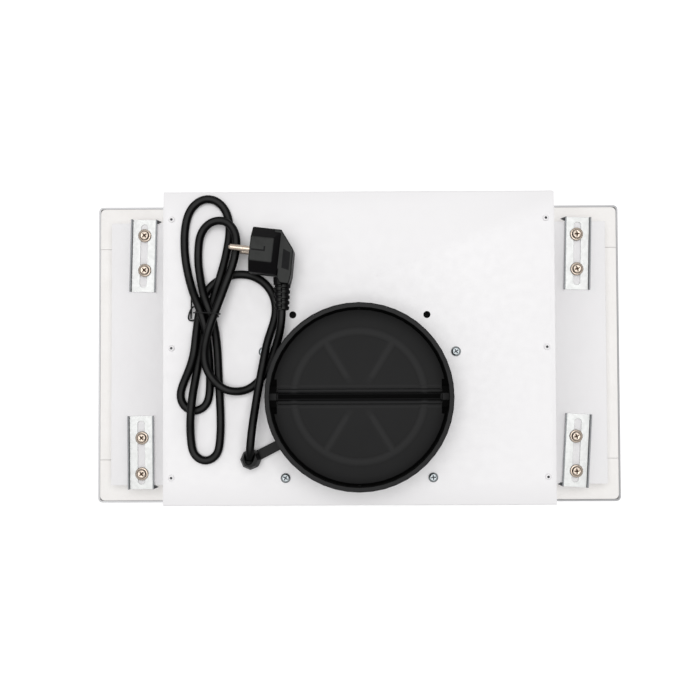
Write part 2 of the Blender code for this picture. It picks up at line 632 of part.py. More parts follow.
def tube(name, points, radius, look, cyclic=False, resolution=2):
    """A round tube along a polyline, as a mesh with closed ends."""
    line = bpy.data.curves.new(name, "CURVE")
    line.dimensions = "3D"
    line.bevel_depth = radius
    line.bevel_resolution = resolution
    line.use_fill_caps = not cyclic
    spline = line.splines.new("POLY")
    spline.points.add(len(points) - 1)
    for spot, point in zip(spline.points, points):
        spot.co = (*point, 1)
    spline.use_cyclic_u = cyclic
    return place(name, line, look)


def duct_collar(path):
    top = COLLAR_HEIGHT
    rim = COLLAR_RADIUS - RIM_WIDTH
    spigot_bore = SPIGOT_RADIUS - COLLAR_WALL
    seat_bore = BORE_RADIUS - SEAT_WIDTH
    seat_low = SEAT_HEIGHT - SEAT_DEPTH
    profile = ((rim, top), (COLLAR_RADIUS - RIM_CHAMFER, top), (COLLAR_RADIUS, top - RIM_CHAMFER),
               (COLLAR_RADIUS, GAP), (SPIGOT_RADIUS, GAP), (SPIGOT_RADIUS, -SPIGOT_DEPTH),
               (spigot_bore, -SPIGOT_DEPTH),
               (spigot_bore, seat_low), (seat_bore, seat_low), (seat_bore, SEAT_HEIGHT),
               (BORE_RADIUS, SEAT_HEIGHT), (BORE_RADIUS, top - RIM_DEPTH), (rim, top - RIM_DEPTH))
    collar = turned("duct_collar", profile, COLLAR_STEPS, BLACK_PLASTIC, (0, COLLAR_Y, TOP_Z))

    middle_of_wall = COLLAR_RADIUS - COLLAR_WALL / 2
    inside = bmesh.new()
    bridge_top = SEAT_HEIGHT - BRIDGE_DROP
    add_box(inside, (-middle_of_wall, -BRIDGE_WIDTH / 2, bridge_top - BRIDGE_HEIGHT),
            (middle_of_wall, BRIDGE_WIDTH / 2, bridge_top))
    fuse(collar, inside)
    lugs = bmesh.new()
    hinge = HINGE_Z - TOP_Z
    for side in (-1, 1):
        low, high = sorted((side * (BORE_RADIUS - LUG_LENGTH), side * middle_of_wall))
        add_box(lugs, (low, -LUG_WIDTH / 2, seat_low), (high, LUG_WIDTH / 2, hinge + LUG_RISE))
        low, high = sorted((side * (BORE_RADIUS - NUB_DEPTH), side * middle_of_wall))
        nub_top = top - RIM_DEPTH - GAP
        add_box(lugs, (-NUB_WIDTH / 2, low, nub_top - NUB_HEIGHT), (NUB_WIDTH / 2, high, nub_top))
    fuse(collar, lugs)
    sockets = bmesh.new()
    reach = BORE_RADIUS - LUG_LENGTH
    for side in (-1, 1):
        for row in (-1, 1):
            y = row * HINGE_OFFSET
            add_rod(sockets, (side * (reach - FAR / 10), y, hinge),
                    (side * (FLAP_SIDE + HINGE_PIN_LENGTH + GAP), y, hinge), HINGE_PIN_RADIUS + GAP, 16)
    cut(collar, sockets)

    arm = bmesh.new()
    angle = math.radians(OUTLET_ARM_ANGLE)
    start = Vector((math.cos(angle), math.sin(angle))) * middle_of_wall
    end = Vector(OUTLET_PLACE)
    across = (end - start).normalized().orthogonal() * OUTLET_ARM_WIDTH / 2
    corners = (start + across, end + across, end - across, start - across)
    add_prism(arm, corners, "Z", GAP, GAP + OUTLET_ARM_HEIGHT)
    fuse(collar, arm)
    cup = bmesh.new()
    cup_top = GAP + OUTLET_HEIGHT
    add_rod(cup, (*end, GAP), (*end, cup_top), OUTLET_RADIUS, OUTLET_SIDES)
    fuse(collar, cup)
    crown = bmesh.new()
    add_rod(crown, (*end, cup_top), (*end, cup_top + OUTLET_CROWN_HEIGHT), OUTLET_RADIUS, OUTLET_SIDES,
            OUTLET_CROWN_RADIUS)
    fuse(collar, crown)
    bore = bmesh.new()
    ahead = (path[1] - path[0]).normalized()
    mouth = path[0] - Vector((0, COLLAR_Y, TOP_Z))
    bottom = mouth - ahead * (BUSHING_LENGTH + 2 * GAP)
    add_rod(bore, bottom, mouth + ahead * 2 * OUTLET_RADIUS, OUTLET_BORE, 20)
    cut(collar, bore)

    bm, finish = solid("cord_bushing", BLACK_RUBBER)
    add_rod(bm, path[0] - ahead * (BUSHING_LENGTH + GAP), path[0] - ahead * GAP, OUTLET_BORE - GAP, 20)
    finish()


def damper_flap(name, side):
    """Half a disc that hangs on two pins beside the bridge; its own origin is on the hinge axis."""
    bm, finish = solid(name, GREY_PLASTIC, (0, COLLAR_Y + side * HINGE_OFFSET, HINGE_Z))
    half = FLAP_THICKNESS / 2
    centre = -side * HINGE_OFFSET
    add_rod(bm, (0, centre, -half), (0, centre, half), FLAP_RADIUS, COLLAR_STEPS)
    flap = finish()
    away = bmesh.new()
    low, high = sorted((0, -side * COLLAR_RADIUS * 2))
    add_box(away, (-FAR * 2, low, -FAR), (FAR * 2, high, FAR))
    cut(flap, away)
    corners = bmesh.new()
    for end in (-1, 1):
        low_x, high_x = sorted((end * FLAP_SIDE, end * FAR * 2))
        low_y, high_y = sorted((-side * FAR / 10, side * FLAP_NOTCH))
        add_box(corners, (low_x, low_y, -FAR), (high_x, high_y, FAR))
    cut(flap, corners)
    knuckle = bmesh.new()
    reach = FLAP_SIDE - KNUCKLE_SETBACK
    add_rod(knuckle, (-reach, 0, 0), (reach, 0, 0), KNUCKLE_RADIUS, 16)
    fuse(flap, knuckle)
    pins = bmesh.new()
    reach = FLAP_SIDE + HINGE_PIN_LENGTH
    add_rod(pins, (-reach, 0, 0), (reach, 0, 0), HINGE_PIN_RADIUS, 16)
    fuse(flap, pins)

    ribs = bmesh.new()
    inner, outer = FLAP_RING_RADIUS - FLAP_RING_WIDTH / 2, FLAP_RING_RADIUS + FLAP_RING_WIDTH / 2
    arc = [math.radians(a) for a in range(10, 171, 8)]
    ring = [(outer * math.cos(a), centre + side * outer * math.sin(a)) for a in arc]
    ring += [(inner * math.cos(a), centre + side * inner * math.sin(a)) for a in reversed(arc)]
    add_prism(ribs, ring, "Z", 0, half + FLAP_RIB_HEIGHT)
    fuse(flap, ribs)
    for lean in (-FLAP_SPOKE_ANGLE, FLAP_SPOKE_ANGLE):
        spoke = bmesh.new()
        along = Vector((math.sin(math.radians(lean)), side * math.cos(math.radians(lean))))
        across = along.orthogonal() * FLAP_RIB_WIDTH / 2
        start = Vector((0, centre)) + along * FLAP_HUB_RADIUS * 2
        end = Vector((0, centre)) + along * FLAP_RING_RADIUS
        add_prism(spoke, (start + across, end + across, end - across, start - across), "Z", 0,
                  half + FLAP_RIB_HEIGHT)
        fuse(flap, spoke)


def clamp_bracket(corner):
    """A channel with lips turned up and a tab at its inner lip, with its slot along its own Y."""
    middle = in_corner(corner, *CLAMPS[corner]["middle"])
    tilt = math.radians(CLAMPS[corner]["tilt"])
    bm, finish = solid(f"clamp_bracket_{corner}", ZINC, (*middle, ON_SHOULDER), (0, 0, tilt))
    inside = CLAMP_PLATE_WIDTH / 2
    outside = inside + CLAMP_SHEET
    lip = [(outside, 0), (outside + CLAMP_SPLAY, CLAMP_HEIGHT), (inside + CLAMP_SPLAY, CLAMP_HEIGHT),
           (inside, CLAMP_SHEET)]
    add_prism(bm, lip + [(-x, z) for x, z in reversed(lip)], "Y", -CLAMP_LENGTH / 2, CLAMP_LENGTH / 2)
    bracket = finish()
    inward = 1 if corner.endswith("left") else -1
    outer_end = 1 if corner.startswith("rear") else -1
    root, end, reach = outside - CLAMP_SHEET / 3, CLAMP_LENGTH / 2, CLAMP_TAB_REACH
    tab_outline = ((root, end), (outside + reach, end - CLAMP_TAB_LENGTH / 2),
                   (outside + reach / 3, end - CLAMP_TAB_LENGTH), (root, end - CLAMP_TAB_LENGTH))
    tab = bmesh.new()
    add_prism(tab, [(inward * x, outer_end * y) for x, y in tab_outline], "Z", 0, CLAMP_TAB_HEIGHT)
    fuse(bracket, tab)
    slot = bmesh.new()
    end_radius = CLAMP_SLOT_WIDTH / 2
    straight = CLAMP_SLOT_LENGTH / 2 - end_radius
    turns = [math.radians(a) for a in range(0, 181, 20)]
    rounded = [(end_radius * math.cos(a), straight + end_radius * math.sin(a)) for a in turns]
    add_prism(slot, rounded + [(-x, -y) for x, y in rounded], "Z", -FAR, FAR)
    cut(bracket, slot)


def clamp_screw(name, x, y):
    top = CLAMP_FLANGE_HEIGHT + CLAMP_CROWN_HEIGHT
    tip = SHOULDER_Z - CLAMP_SHANK_BELOW - CLAMP_TOP
    profile = ((0, top), (CLAMP_CROWN_RADIUS * 0.8, top),
               (CLAMP_CROWN_RADIUS, top - CLAMP_CROWN_HEIGHT * 0.35),
               (CLAMP_CROWN_RADIUS, CLAMP_FLANGE_HEIGHT),
               (CLAMP_FLANGE_RADIUS, CLAMP_FLANGE_HEIGHT * 0.7), (CLAMP_FLANGE_RADIUS, 0),
               (CLAMP_SHANK_RADIUS, 0), (CLAMP_SHANK_RADIUS, tip), (0, tip))
    screw = turned(f"clamp_screw_{name}", profile, 12, NICKEL, (x, y, CLAMP_TOP + GAP))
    recess = bmesh.new()
    add_cross(recess, 0, 0, top)
    cut(screw, recess)


def plug():
    """The plug's own X runs back from its front face, and its pins stand one above the other."""
    turn = (0, 0, math.radians(PLUG_TURN))
    origin = (*from_collar(PLUG_FACE_PLACE), ON_COVER + PLUG_RADIUS)
    bm, finish = solid("plug_body", BLACK_RUBBER, origin, turn)
    half = ((PLUG_FLAT, PLUG_RADIUS), (PLUG_RADIUS, PLUG_FLAT), (PLUG_RADIUS, -PLUG_FLAT),
            (PLUG_FLAT, -PLUG_RADIUS))
    add_prism(bm, half + tuple((-y, -z) for y, z in half), "X", 0, PLUG_FRONT_DEPTH)
    body = finish()
    grip_start = PLUG_GRIP_OUTLINE[0][0]
    neck = bmesh.new()
    add_rod(neck, (PLUG_FRONT_DEPTH / 2, 0, 0), (grip_start + GAP, 0, 0), PLUG_NECK_RADIUS, 24)
    fuse(body, neck)
    grip = bmesh.new()
    add_prism(grip, PLUG_GRIP_OUTLINE, "Z", -PLUG_GRIP_HEIGHT / 2, PLUG_GRIP_HEIGHT / 2)
    fuse(body, grip)
    relief = bmesh.new()
    add_rod(relief, (*RELIEF_START, 0), (*RELIEF_END, 0), RELIEF_START_RADIUS, 24, RELIEF_END_RADIUS)
    fuse(body, relief)
    hollows = bmesh.new()
    inward = (Vector((*RELIEF_START, 0)) - Vector((*RELIEF_END, 0))).normalized()
    end = Vector((*RELIEF_END, 0))
    add_rod(hollows, end - inward * FAR / 10, end + inward * RELIEF_BORE_DEPTH, CORD_RADIUS + 2 * GAP, 20)
    for level in (-1, 1):
        z = level * PLUG_PIN_PITCH / 2
        add_rod(hollows, (-FAR / 10, 0, z), (PLUG_PIN_SOCKET + GAP, 0, z), PLUG_PIN_RADIUS + GAP, 16)
    cut(body, hollows)
    for name, level in (("plug_pin_upper", 1), ("plug_pin_lower", -1)):
        bm, finish = solid(name, NICKEL, origin, turn)
        z = level * PLUG_PIN_PITCH / 2
        tip = PLUG_PIN_RADIUS / 2
        add_rod(bm, (PLUG_PIN_SOCKET, 0, z), (tip - PLUG_PIN_LENGTH, 0, z), PLUG_PIN_RADIUS, 16)
        pin = finish()
        nose = bmesh.new()
        add_rod(nose, (tip - PLUG_PIN_LENGTH + tip, 0, z), (-PLUG_PIN_LENGTH, 0, z), PLUG_PIN_RADIUS, 16, tip)
        fuse(pin, nose)


def cord_tie(path):
    """A tight wire loop round the strands that run through the tie's plane."""
    turn = math.radians(TIE_TURN)
    along, ahead = Vector((math.cos(turn), math.sin(turn), 0)), Vector((-math.sin(turn), math.cos(turn), 0))
    middle = Vector((*from_collar(TIE_MIDDLE), 0))
    strands = []
    for one, two in zip(path, path[1:]):
        before, after = (one - middle).dot(ahead), (two - middle).dot(ahead)
        spot = one.lerp(two, before / (before - after)) - middle
        if before * after <= 0 and abs(spot.dot(along)) < TIE_REACH:
            strands.append((spot.dot(along), spot.z))
    offset = CORD_RADIUS + TIE_RADIUS + TIE_SLACK
    loop = []
    for step in range(TIE_STEPS):
        angle = 2 * math.pi * step / TIE_STEPS
        out, up = math.cos(angle), math.sin(angle)
        x, z = max(strands, key=lambda strand: strand[0] * out + strand[1] * up)
        height = max(z + offset * up, ON_COVER + TIE_RADIUS)
        loop.append(middle + along * (x + offset * out) + Vector((0, 0, height)))
    tube("cord_tie", loop, TIE_RADIUS, BLACK_RUBBER, cyclic=True, resolution=1)


def scroll_outline(extra, top):
    """The blower's spiral in (y, z), grown by a wall's thickness, with its outlet carried up to a height."""
    tongue = BLOWER_Y + SCROLL_RADIUS * math.cos(math.radians(TONGUE_ANGLE)) + extra
    first = math.degrees(math.acos((tongue - BLOWER_Y) / (SCROLL_RADIUS + extra)))
    steps = int((first + 180) / SCROLL_STEP)
    outline = []
    for i in range(steps + 1):
        angle = first - (first + 180) * i / steps
        radius = SCROLL_RADIUS + extra + SCROLL_GROWTH * max(90 - angle, 0) / 90
        outline.append((BLOWER_Y + radius * math.cos(math.radians(angle)),
                        BLOWER_Z + radius * math.sin(math.radians(angle))))
    outline += [(outline[-1][0], top), (outline[0][0], top)]
    return outline


def blower():
    plate_low = UNDER_COVER - OUTLET_PLATE_THICKNESS
    neck_bore = SPIGOT_RADIUS + NECK_CLEARANCE
    bm, finish = solid("blower_casing", ZINC)
    add_prism(bm, scroll_outline(SCROLL_WALL, NECK_FLOOR_Z + SCROLL_WALL / 2), "X", -SCROLL_SIDE, SCROLL_SIDE)
    casing = finish()
    neck = bmesh.new()
    add_rod(neck, (0, COLLAR_Y, NECK_FLOOR_Z), (0, COLLAR_Y, plate_low + OUTLET_PLATE_THICKNESS / 2),
            neck_bore + SCROLL_WALL, COLLAR_STEPS)
    fuse(casing, neck)
    plate = bmesh.new()
    half_l, half_w = OUTLET_PLATE_LENGTH / 2, OUTLET_PLATE_WIDTH / 2
    add_box(plate, (-half_l, COLLAR_Y - half_w, plate_low), (half_l, COLLAR_Y + half_w, UNDER_COVER))
    fuse(casing, plate)
    inside = bmesh.new()
    inner_side = SCROLL_SIDE - SCROLL_WALL
    add_prism(inside, scroll_outline(0, NECK_FLOOR_Z + 2 * SCROLL_WALL), "X", -inner_side, inner_side)
    cut(casing, inside)
    bore = bmesh.new()
    add_rod(bore, (0, COLLAR_Y, NECK_FLOOR_Z + SCROLL_WALL), (0, COLLAR_Y, UNDER_COVER + FAR), neck_bore,
            COLLAR_STEPS)
    cut(casing, bore)
    holes = bmesh.new()
    add_rod(holes, (0, BLOWER_Y, BLOWER_Z), (SCROLL_WIDTH, BLOWER_Y, BLOWER_Z), INLET_RADIUS + GAP, 24)
    add_rod(holes, (-SCROLL_WIDTH, BLOWER_Y, BLOWER_Z), (-GAP, BLOWER_Y, BLOWER_Z), SHAFT_HOLE_RADIUS, 24)
    spots = [(*from_collar(spot), BLOWER_SCREW_SHANK_RADIUS + GAP) for spot in BLOWER_SCREW_PLACES]
    spots += [(*from_collar(spot), SPARE_HOLE_RADIUS + GAP) for spot in SPARE_HOLE_PLACES]
    for x, y, radius in spots:
        add_rod(holes, (x, y, plate_low - SHEET), (x, y, UNDER_COVER + SHEET), radius, 16)
    cut(casing, holes)

    along_x = (0, math.radians(90), 0)
    axis = (0, BLOWER_Y, BLOWER_Z)
    start = SCROLL_SIDE + GAP
    lip = INLET_RADIUS - SCROLL_WALL
    lip_end = SCROLL_SIDE - SCROLL_WALL * 2
    ring = ((lip, start + INLET_RING_DEPTH), (INLET_RADIUS, start + INLET_RING_DEPTH),
            (INLET_RADIUS + INLET_RING_WIDTH, start + SCROLL_WALL), (INLET_RADIUS + INLET_RING_WIDTH, start),
            (INLET_RADIUS, start), (INLET_RADIUS, lip_end), (lip, lip_end))
    turned("inlet_ring", ring, 24, ZINC, axis, along_x)

    back = -IMPELLER_WIDTH / 2
    hub_end = back + IMPELLER_HUB_LENGTH
    shaft_bore = SHAFT_RADIUS + GAP
    disc_top = back + IMPELLER_DISC
    wheel = ((shaft_bore, hub_end), (IMPELLER_HUB_RADIUS, hub_end), (IMPELLER_HUB_RADIUS, disc_top),
             (IMPELLER_RADIUS, disc_top), (IMPELLER_RADIUS, back), (shaft_bore, back))
    impeller = turned("impeller", wheel, 24, BLACK_PLASTIC, axis, along_x)
    inner = IMPELLER_RADIUS - BLADE_DEPTH
    blades = bmesh.new()
    for i in range(BLADE_COUNT):
        angle = 2 * math.pi * i / BLADE_COUNT
        tilt = angle + math.radians(BLADE_ANGLE)
        spot = Vector((math.cos(angle), math.sin(angle))) * (inner + BLADE_DEPTH / 2)
        along = Vector((math.cos(tilt), math.sin(tilt))) * (BLADE_DEPTH / 2 - BLADE_THICKNESS)
        across = along.orthogonal().normalized() * BLADE_THICKNESS / 2
        corners = (spot + along + across, spot - along + across, spot - along - across, spot + along - across)
        add_prism(blades, corners, "Z", back + IMPELLER_DISC / 2, IMPELLER_WIDTH / 2 - IMPELLER_DISC / 2)
    fuse(impeller, blades)
    hoop = bmesh.new()
    add_rod(hoop, (0, 0, IMPELLER_WIDTH / 2 - IMPELLER_DISC), (0, 0, IMPELLER_WIDTH / 2), IMPELLER_RADIUS, 24)
    fuse(impeller, hoop)
    mouth = bmesh.new()
    add_rod(mouth, (0, 0, IMPELLER_WIDTH / 2 - IMPELLER_DISC * 2), (0, 0, IMPELLER_WIDTH), inner, 24)
    cut(impeller, mouth)

    plate_x = -SCROLL_SIDE - GAP
    motor_x = plate_x - MOTOR_PLATE_THICKNESS - GAP
    plate_end = plate_x - MOTOR_PLATE_THICKNESS
    disc = ((SHAFT_HOLE_RADIUS, plate_x), (MOTOR_PLATE_RADIUS, plate_x), (MOTOR_PLATE_RADIUS, plate_end),
            (SHAFT_HOLE_RADIUS, plate_end))
    turned("motor_plate", disc, 20, ZINC, axis, along_x)
    motor = ((0, motor_x - MOTOR_BORE_DEPTH), (shaft_bore, motor_x - MOTOR_BORE_DEPTH), (shaft_bore, motor_x),
             (MOTOR_RADIUS, motor_x), (MOTOR_RADIUS, motor_x - MOTOR_LENGTH), (0, motor_x - MOTOR_LENGTH))
    turned("motor", motor, 20, ALUMINIUM, axis, along_x)
    bm, finish = solid("motor_shaft", ZINC, axis)
    add_rod(bm, (motor_x - MOTOR_BORE_DEPTH + GAP, 0, 0), (hub_end, 0, 0), SHAFT_RADIUS, 20)
    finish()


def electrics():
    size_x, size_y, size_z = TERMINAL_BOX_SIZE
    right = HALF_BODY - SHEET - GAP
    bm, finish = solid("terminal_box", GREY_PLASTIC)
    add_rounded_box(bm, (right - size_x, TERMINAL_BOX_Y - size_y / 2, TERMINAL_BOX_Z),
                    (right, TERMINAL_BOX_Y + size_y / 2, TERMINAL_BOX_Z + size_z), SHEET)
    finish()
    bottom = TERMINAL_BOX_Z + size_z + GAP
    bm, finish = solid("run_capacitor", ALUMINIUM)
    x = right - size_x / 2
    add_rod(bm, (x, TERMINAL_BOX_Y, bottom), (x, TERMINAL_BOX_Y, bottom + CAPACITOR_HEIGHT), CAPACITOR_RADIUS)
    finish()


def grease_filter():
    """The filter's frame and mesh hang on the rear lower edge, where their origins are."""
    hinge = (0, FILTER_REAR, FILTER_FACE_Z)
    half = FILTER_LENGTH / 2 - GAP
    front = -(FILTER_WIDTH - 2 * GAP)
    bm, finish = solid("filter_frame", ALUMINIUM, hinge)
    add_box(bm, (-half, front, 0), (half, 0, FILTER_HEIGHT))
    frame = finish()
    window = bmesh.new()
    edge = FILTER_BORDER
    add_box(window, (-half + edge, front + edge, -FAR), (half - edge, -edge, FAR))
    cut(frame, window)
    rebate = bmesh.new()
    edge = FILTER_BORDER - FILTER_LEDGE
    add_box(rebate, (-half + edge, front + edge, FILTER_LEDGE_HEIGHT), (half - edge, -edge, FAR))
    cut(frame, rebate)
    bm, finish = solid("filter_mesh", ALUMINIUM, hinge)
    edge += GAP
    low = FILTER_LEDGE_HEIGHT + GAP
    add_box(bm, (-half + edge, front + edge, low), (half - edge, -edge, low + FILTER_MESH_THICKNESS))
    mesh = finish()
    slots = bmesh.new()
    pitch = -front / (FILTER_SLOT_COUNT + 1)
    reach = half - FILTER_BORDER - FILTER_SLOT_MARGIN
    for i in range(FILTER_SLOT_COUNT):
        y = -pitch * (i + 1)
        add_box(slots, (-reach, y - FILTER_SLOT_WIDTH / 2, -FAR), (reach, y + FILTER_SLOT_WIDTH / 2, FAR))
    cut(mesh, slots)


def button_x(number):
    return (number - (BUTTON_COUNT - 1) / 2) * BUTTON_PITCH


def switches():
    half_l, half_w = PANEL_LENGTH / 2, PANEL_WIDTH / 2
    bm, finish = solid("switch_panel", WHITE_PAINT)
    add_box(bm, (-half_l, PANEL_Y - half_w, ON_FLOOR), (half_l, PANEL_Y + half_w, PANEL_TOP))
    panel = finish()
    holes = bmesh.new()
    half_bl, half_bw = BUTTON_LENGTH / 2, BUTTON_WIDTH / 2
    for number in range(BUTTON_COUNT):
        x = button_x(number)
        add_box(holes, (x - half_bl, PANEL_Y - half_bw, -FAR), (x + half_bl, PANEL_Y + half_bw, FAR))
    cut(panel, holes)
    for number in range(BUTTON_COUNT):
        spot = (button_x(number), PANEL_Y, BUTTON_FACE_Z)
        bm, finish = solid(f"push_button_{number + 1}", WHITE_PAINT, spot)
        top = BUTTON_TOP - BUTTON_FACE_Z
        add_rounded_box(bm, (-half_bl + GAP, -half_bw + GAP, 0), (half_bl - GAP, half_bw - GAP, top), SHEET)
        button = finish()
        flange = bmesh.new()
        add_box(flange, (-half_bl - BUTTON_FLANGE, -half_bw - BUTTON_FLANGE, PANEL_TOP + GAP - BUTTON_FACE_Z),
                (half_bl + BUTTON_FLANGE, half_bw + BUTTON_FLANGE, top))
        fuse(button, flange)
    bm, finish = solid("switch_block", GREY_PLASTIC)
    low = BUTTON_TOP + BUTTON_TRAVEL + GAP
    reach = half_l - GAP
    add_box(bm, (-reach, PANEL_Y - half_w, PANEL_TOP + GAP),
            (reach, PANEL_Y + half_w, low + SWITCH_BLOCK_HEIGHT))
    block = finish()
    room = bmesh.new()
    add_box(room, (-reach + SWITCH_FOOT, PANEL_Y - FAR, 0), (reach - SWITCH_FOOT, PANEL_Y + FAR, low))
    cut(block, room)


def lamps():
    for name, side in (("left", -1), ("right", 1)):
        flange = LAMP_RADIUS + LAMP_FLANGE_WIDTH
        ledge_z = LAMP_FACE_Z + LENS_THICKNESS + GAP
        seat = LENS_RADIUS + GAP
        mouth = LENS_RADIUS - LENS_LEDGE
        ceiling = ledge_z + REFLECTOR_DEPTH
        profile = ((0, LAMP_HEIGHT), (LAMP_RADIUS, LAMP_HEIGHT), (LAMP_RADIUS, ON_FLOOR + LAMP_FLANGE_HEIGHT),
                   (flange, ON_FLOOR + LAMP_FLANGE_HEIGHT), (flange, ON_FLOOR), (LAMP_RADIUS, ON_FLOOR),
                   (LAMP_RADIUS, LAMP_FACE_Z), (seat, LAMP_FACE_Z), (seat, ledge_z), (mouth, ledge_z),
                   (mouth, ceiling), (0, ceiling))
        turned(f"lamp_{name}", profile, 28, WHITE_PAINT, (side * LAMP_X, 0, 0))
        bm, finish = solid(f"lamp_lens_{name}", CLEAR)
        x = side * LAMP_X
        add_rod(bm, (x, 0, LAMP_FACE_Z), (x, 0, LAMP_FACE_Z + LENS_THICKNESS), LENS_RADIUS, 28)
        finish()


lead = cord_path()
bottom_frame()
seals()
housing_cover()
side_panel("side_panel_left", -1)
side_panel("side_panel_right", 1)
rivets()
blower_screws()
duct_collar(lead)
damper_flap("damper_flap_rear", 1)
damper_flap("damper_flap_front", -1)
for corner_name in CLAMPS:
    clamp_bracket(corner_name)
for screw_name, (screw_x, screw_y) in clamp_screw_places().items():
    clamp_screw(screw_name, screw_x, screw_y)
plug()
tube("mains_cord", lead, CORD_RADIUS, BLACK_RUBBER)
cord_tie(lead)
blower()
electrics()
grease_filter()
switches()
lamps()
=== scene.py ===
"""Looks of the built-in extractor hood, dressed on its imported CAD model. Metres, with +Z up."""
import json
import math
from collections import namedtuple

import bmesh
import bpy
import numpy as np
from mathutils import Matrix, Vector

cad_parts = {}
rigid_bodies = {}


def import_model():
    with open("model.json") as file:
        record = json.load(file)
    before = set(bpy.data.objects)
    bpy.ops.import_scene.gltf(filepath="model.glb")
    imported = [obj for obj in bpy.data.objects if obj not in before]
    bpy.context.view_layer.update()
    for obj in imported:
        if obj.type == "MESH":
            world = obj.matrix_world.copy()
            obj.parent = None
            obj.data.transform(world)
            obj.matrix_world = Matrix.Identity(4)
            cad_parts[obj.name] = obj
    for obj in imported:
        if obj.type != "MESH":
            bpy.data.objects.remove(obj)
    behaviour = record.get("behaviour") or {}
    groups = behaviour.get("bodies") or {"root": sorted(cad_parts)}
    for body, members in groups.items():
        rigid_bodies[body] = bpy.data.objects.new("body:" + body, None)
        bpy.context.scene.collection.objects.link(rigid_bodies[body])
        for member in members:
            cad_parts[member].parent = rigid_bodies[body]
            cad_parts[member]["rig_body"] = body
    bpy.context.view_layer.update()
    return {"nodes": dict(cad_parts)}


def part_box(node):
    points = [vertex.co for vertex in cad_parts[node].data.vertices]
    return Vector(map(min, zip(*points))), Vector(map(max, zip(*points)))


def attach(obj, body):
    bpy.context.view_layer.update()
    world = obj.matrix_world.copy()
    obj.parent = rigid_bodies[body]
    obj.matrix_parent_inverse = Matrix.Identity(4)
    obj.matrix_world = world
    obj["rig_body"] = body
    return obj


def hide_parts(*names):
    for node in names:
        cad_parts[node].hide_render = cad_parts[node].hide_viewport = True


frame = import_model()

# Camera: where it stands, how it is turned in degrees, and its lens and sensor in millimetres
CAMERA_PLACE = (-0.00237, -0.02622, 1.00815)
CAMERA_TURN = (1.701, 0.361, -0.228)
CAMERA_LENS = 51.02
CAMERA_SENSOR = 36.0

# Light: the sky's strength, the soft box with its place, aim and power, and the floor
SKY_STRENGTH = 0.45
BOX_SIZE = 1.3
BOX_PLACE = (0.0, 0.10, 1.90)
BOX_AIM = (0.0, 0.0, 0.1)
BOX_POWER = 19.5
FLOOR_SIZE = 8.0
FLOOR_DROP = 0.0008
FLOOR_GLOW = 0.35
FLOOR_PALE = (0.9, 0.9, 0.9)
WHITE = (1.0, 1.0, 1.0, 1.0)

# Noise: the span that holds nearly all of its values, and how far it moves a moulded roughness
NOISE_LOW = 0.3
NOISE_HIGH = 0.7
MOTTLE_SMOOTHER = 0.06
MOTTLE_ROUGHER = 0.08

# Finishes in linear red, green and blue, one colour or dark to light, and how far bare metal varies; the
# recess colours are painted shade
COAT_DARK = (0.842, 0.831, 0.840)
COAT_LIGHT = (0.862, 0.852, 0.860)
FOAM_DARK = (0.940, 0.918, 0.896)
FOAM_LIGHT = (0.975, 0.957, 0.938)
ALUMINIUM_DARK = (0.66, 0.665, 0.67)
ALUMINIUM_LIGHT = (0.76, 0.76, 0.765)
WARM_NICKEL = (0.38, 0.322, 0.271)
RECESS_SHADE_BROWN = (0.07, 0.045, 0.03)
BRIGHT_ZINC = (0.20, 0.217, 0.225)
RECESS_SHADE_STEEL = (0.05, 0.055, 0.06)
DARK_STEEL = (0.05, 0.05, 0.053)
METAL_DARKER = 0.9
METAL_LIGHTER = 1.06
BLACK_DARK = (0.005, 0.005, 0.0053)
BLACK_LIGHT = (0.008, 0.008, 0.0084)
GREY_DARK = (0.030, 0.031, 0.032)
GREY_LIGHT = (0.040, 0.041, 0.042)
SHELL_DARK = (0.83, 0.83, 0.82)
SHELL_LIGHT = (0.86, 0.86, 0.85)
LENS_PALE = (0.90, 0.92, 0.93)

# Black rubber: a dusting and a painted highlight where it faces up, the share of facing up where they
# start, and a lift of the noise to about 1
CORD_BLACK = (0.0012, 0.0012, 0.0013)
CORD_DUST_AND_HIGHLIGHT = (0.026, 0.026, 0.026)
PLUG_BLACK = (0.0024, 0.0022, 0.0026)
PLUG_DUST_AND_HIGHLIGHT = (0.036, 0.037, 0.036)
# The plug's recess colours are darker: painted shade in its slit and panel recesses.
PLUG_RECESS_BLACK = (0.0020, 0.0020, 0.0022)
PLUG_RECESS_DUST_AND_HIGHLIGHT = (0.0090, 0.0090, 0.0095)
DUST_AND_HIGHLIGHT_START = 0.80
DUST_AND_HIGHLIGHT_LIFT = 0.5

# Edges: how far those of each kind of piece are rounded, and the angle from which an edge is one
THIN_EDGE = 0.0002
BUSHING_EDGE = 0.0003
SHEET_EDGE = 0.0004
LAMP_EDGE = 0.0005
BOX_EDGE = 0.0006
CASING_EDGE = 0.0008
EDGE_SEGMENTS = 2
BUTTON_SEGMENTS = 3
EDGE_ANGLE = 35.0
WELD_DISTANCE = 0.00001

# Places on the cover are given from the collar's middle at the cover's level; pieces lie a gap above
COLLAR_MIDDLE = Vector((0.0, -0.040, 0.192))
ORIGIN = Vector((0.0, 0.0, 0.0))
GAP = 0.0003

# Duct collar: its colours, the bore painted near black as shade, and the lugs and ledge of its bridge, the
# ledge grey as a painted highlight
COLLAR_BLACK = (0.0065, 0.0065, 0.0068)
COLLAR_ROUGHNESS = 0.45
BORE_PAINTED_SHADE = (0.0002, 0.0002, 0.0002)
BORE_ROUGHNESS = 0.95
BORE_RADIUS = 0.0731
BORE_TOP = 0.0380
BORE_SOFT = 0.0006
LUG_HALF = 0.0024
LUG_REACH = 0.0076
SLOT_HALF = 0.0016
LEDGE_PAINTED_HIGHLIGHT = (0.016, 0.016, 0.0165)
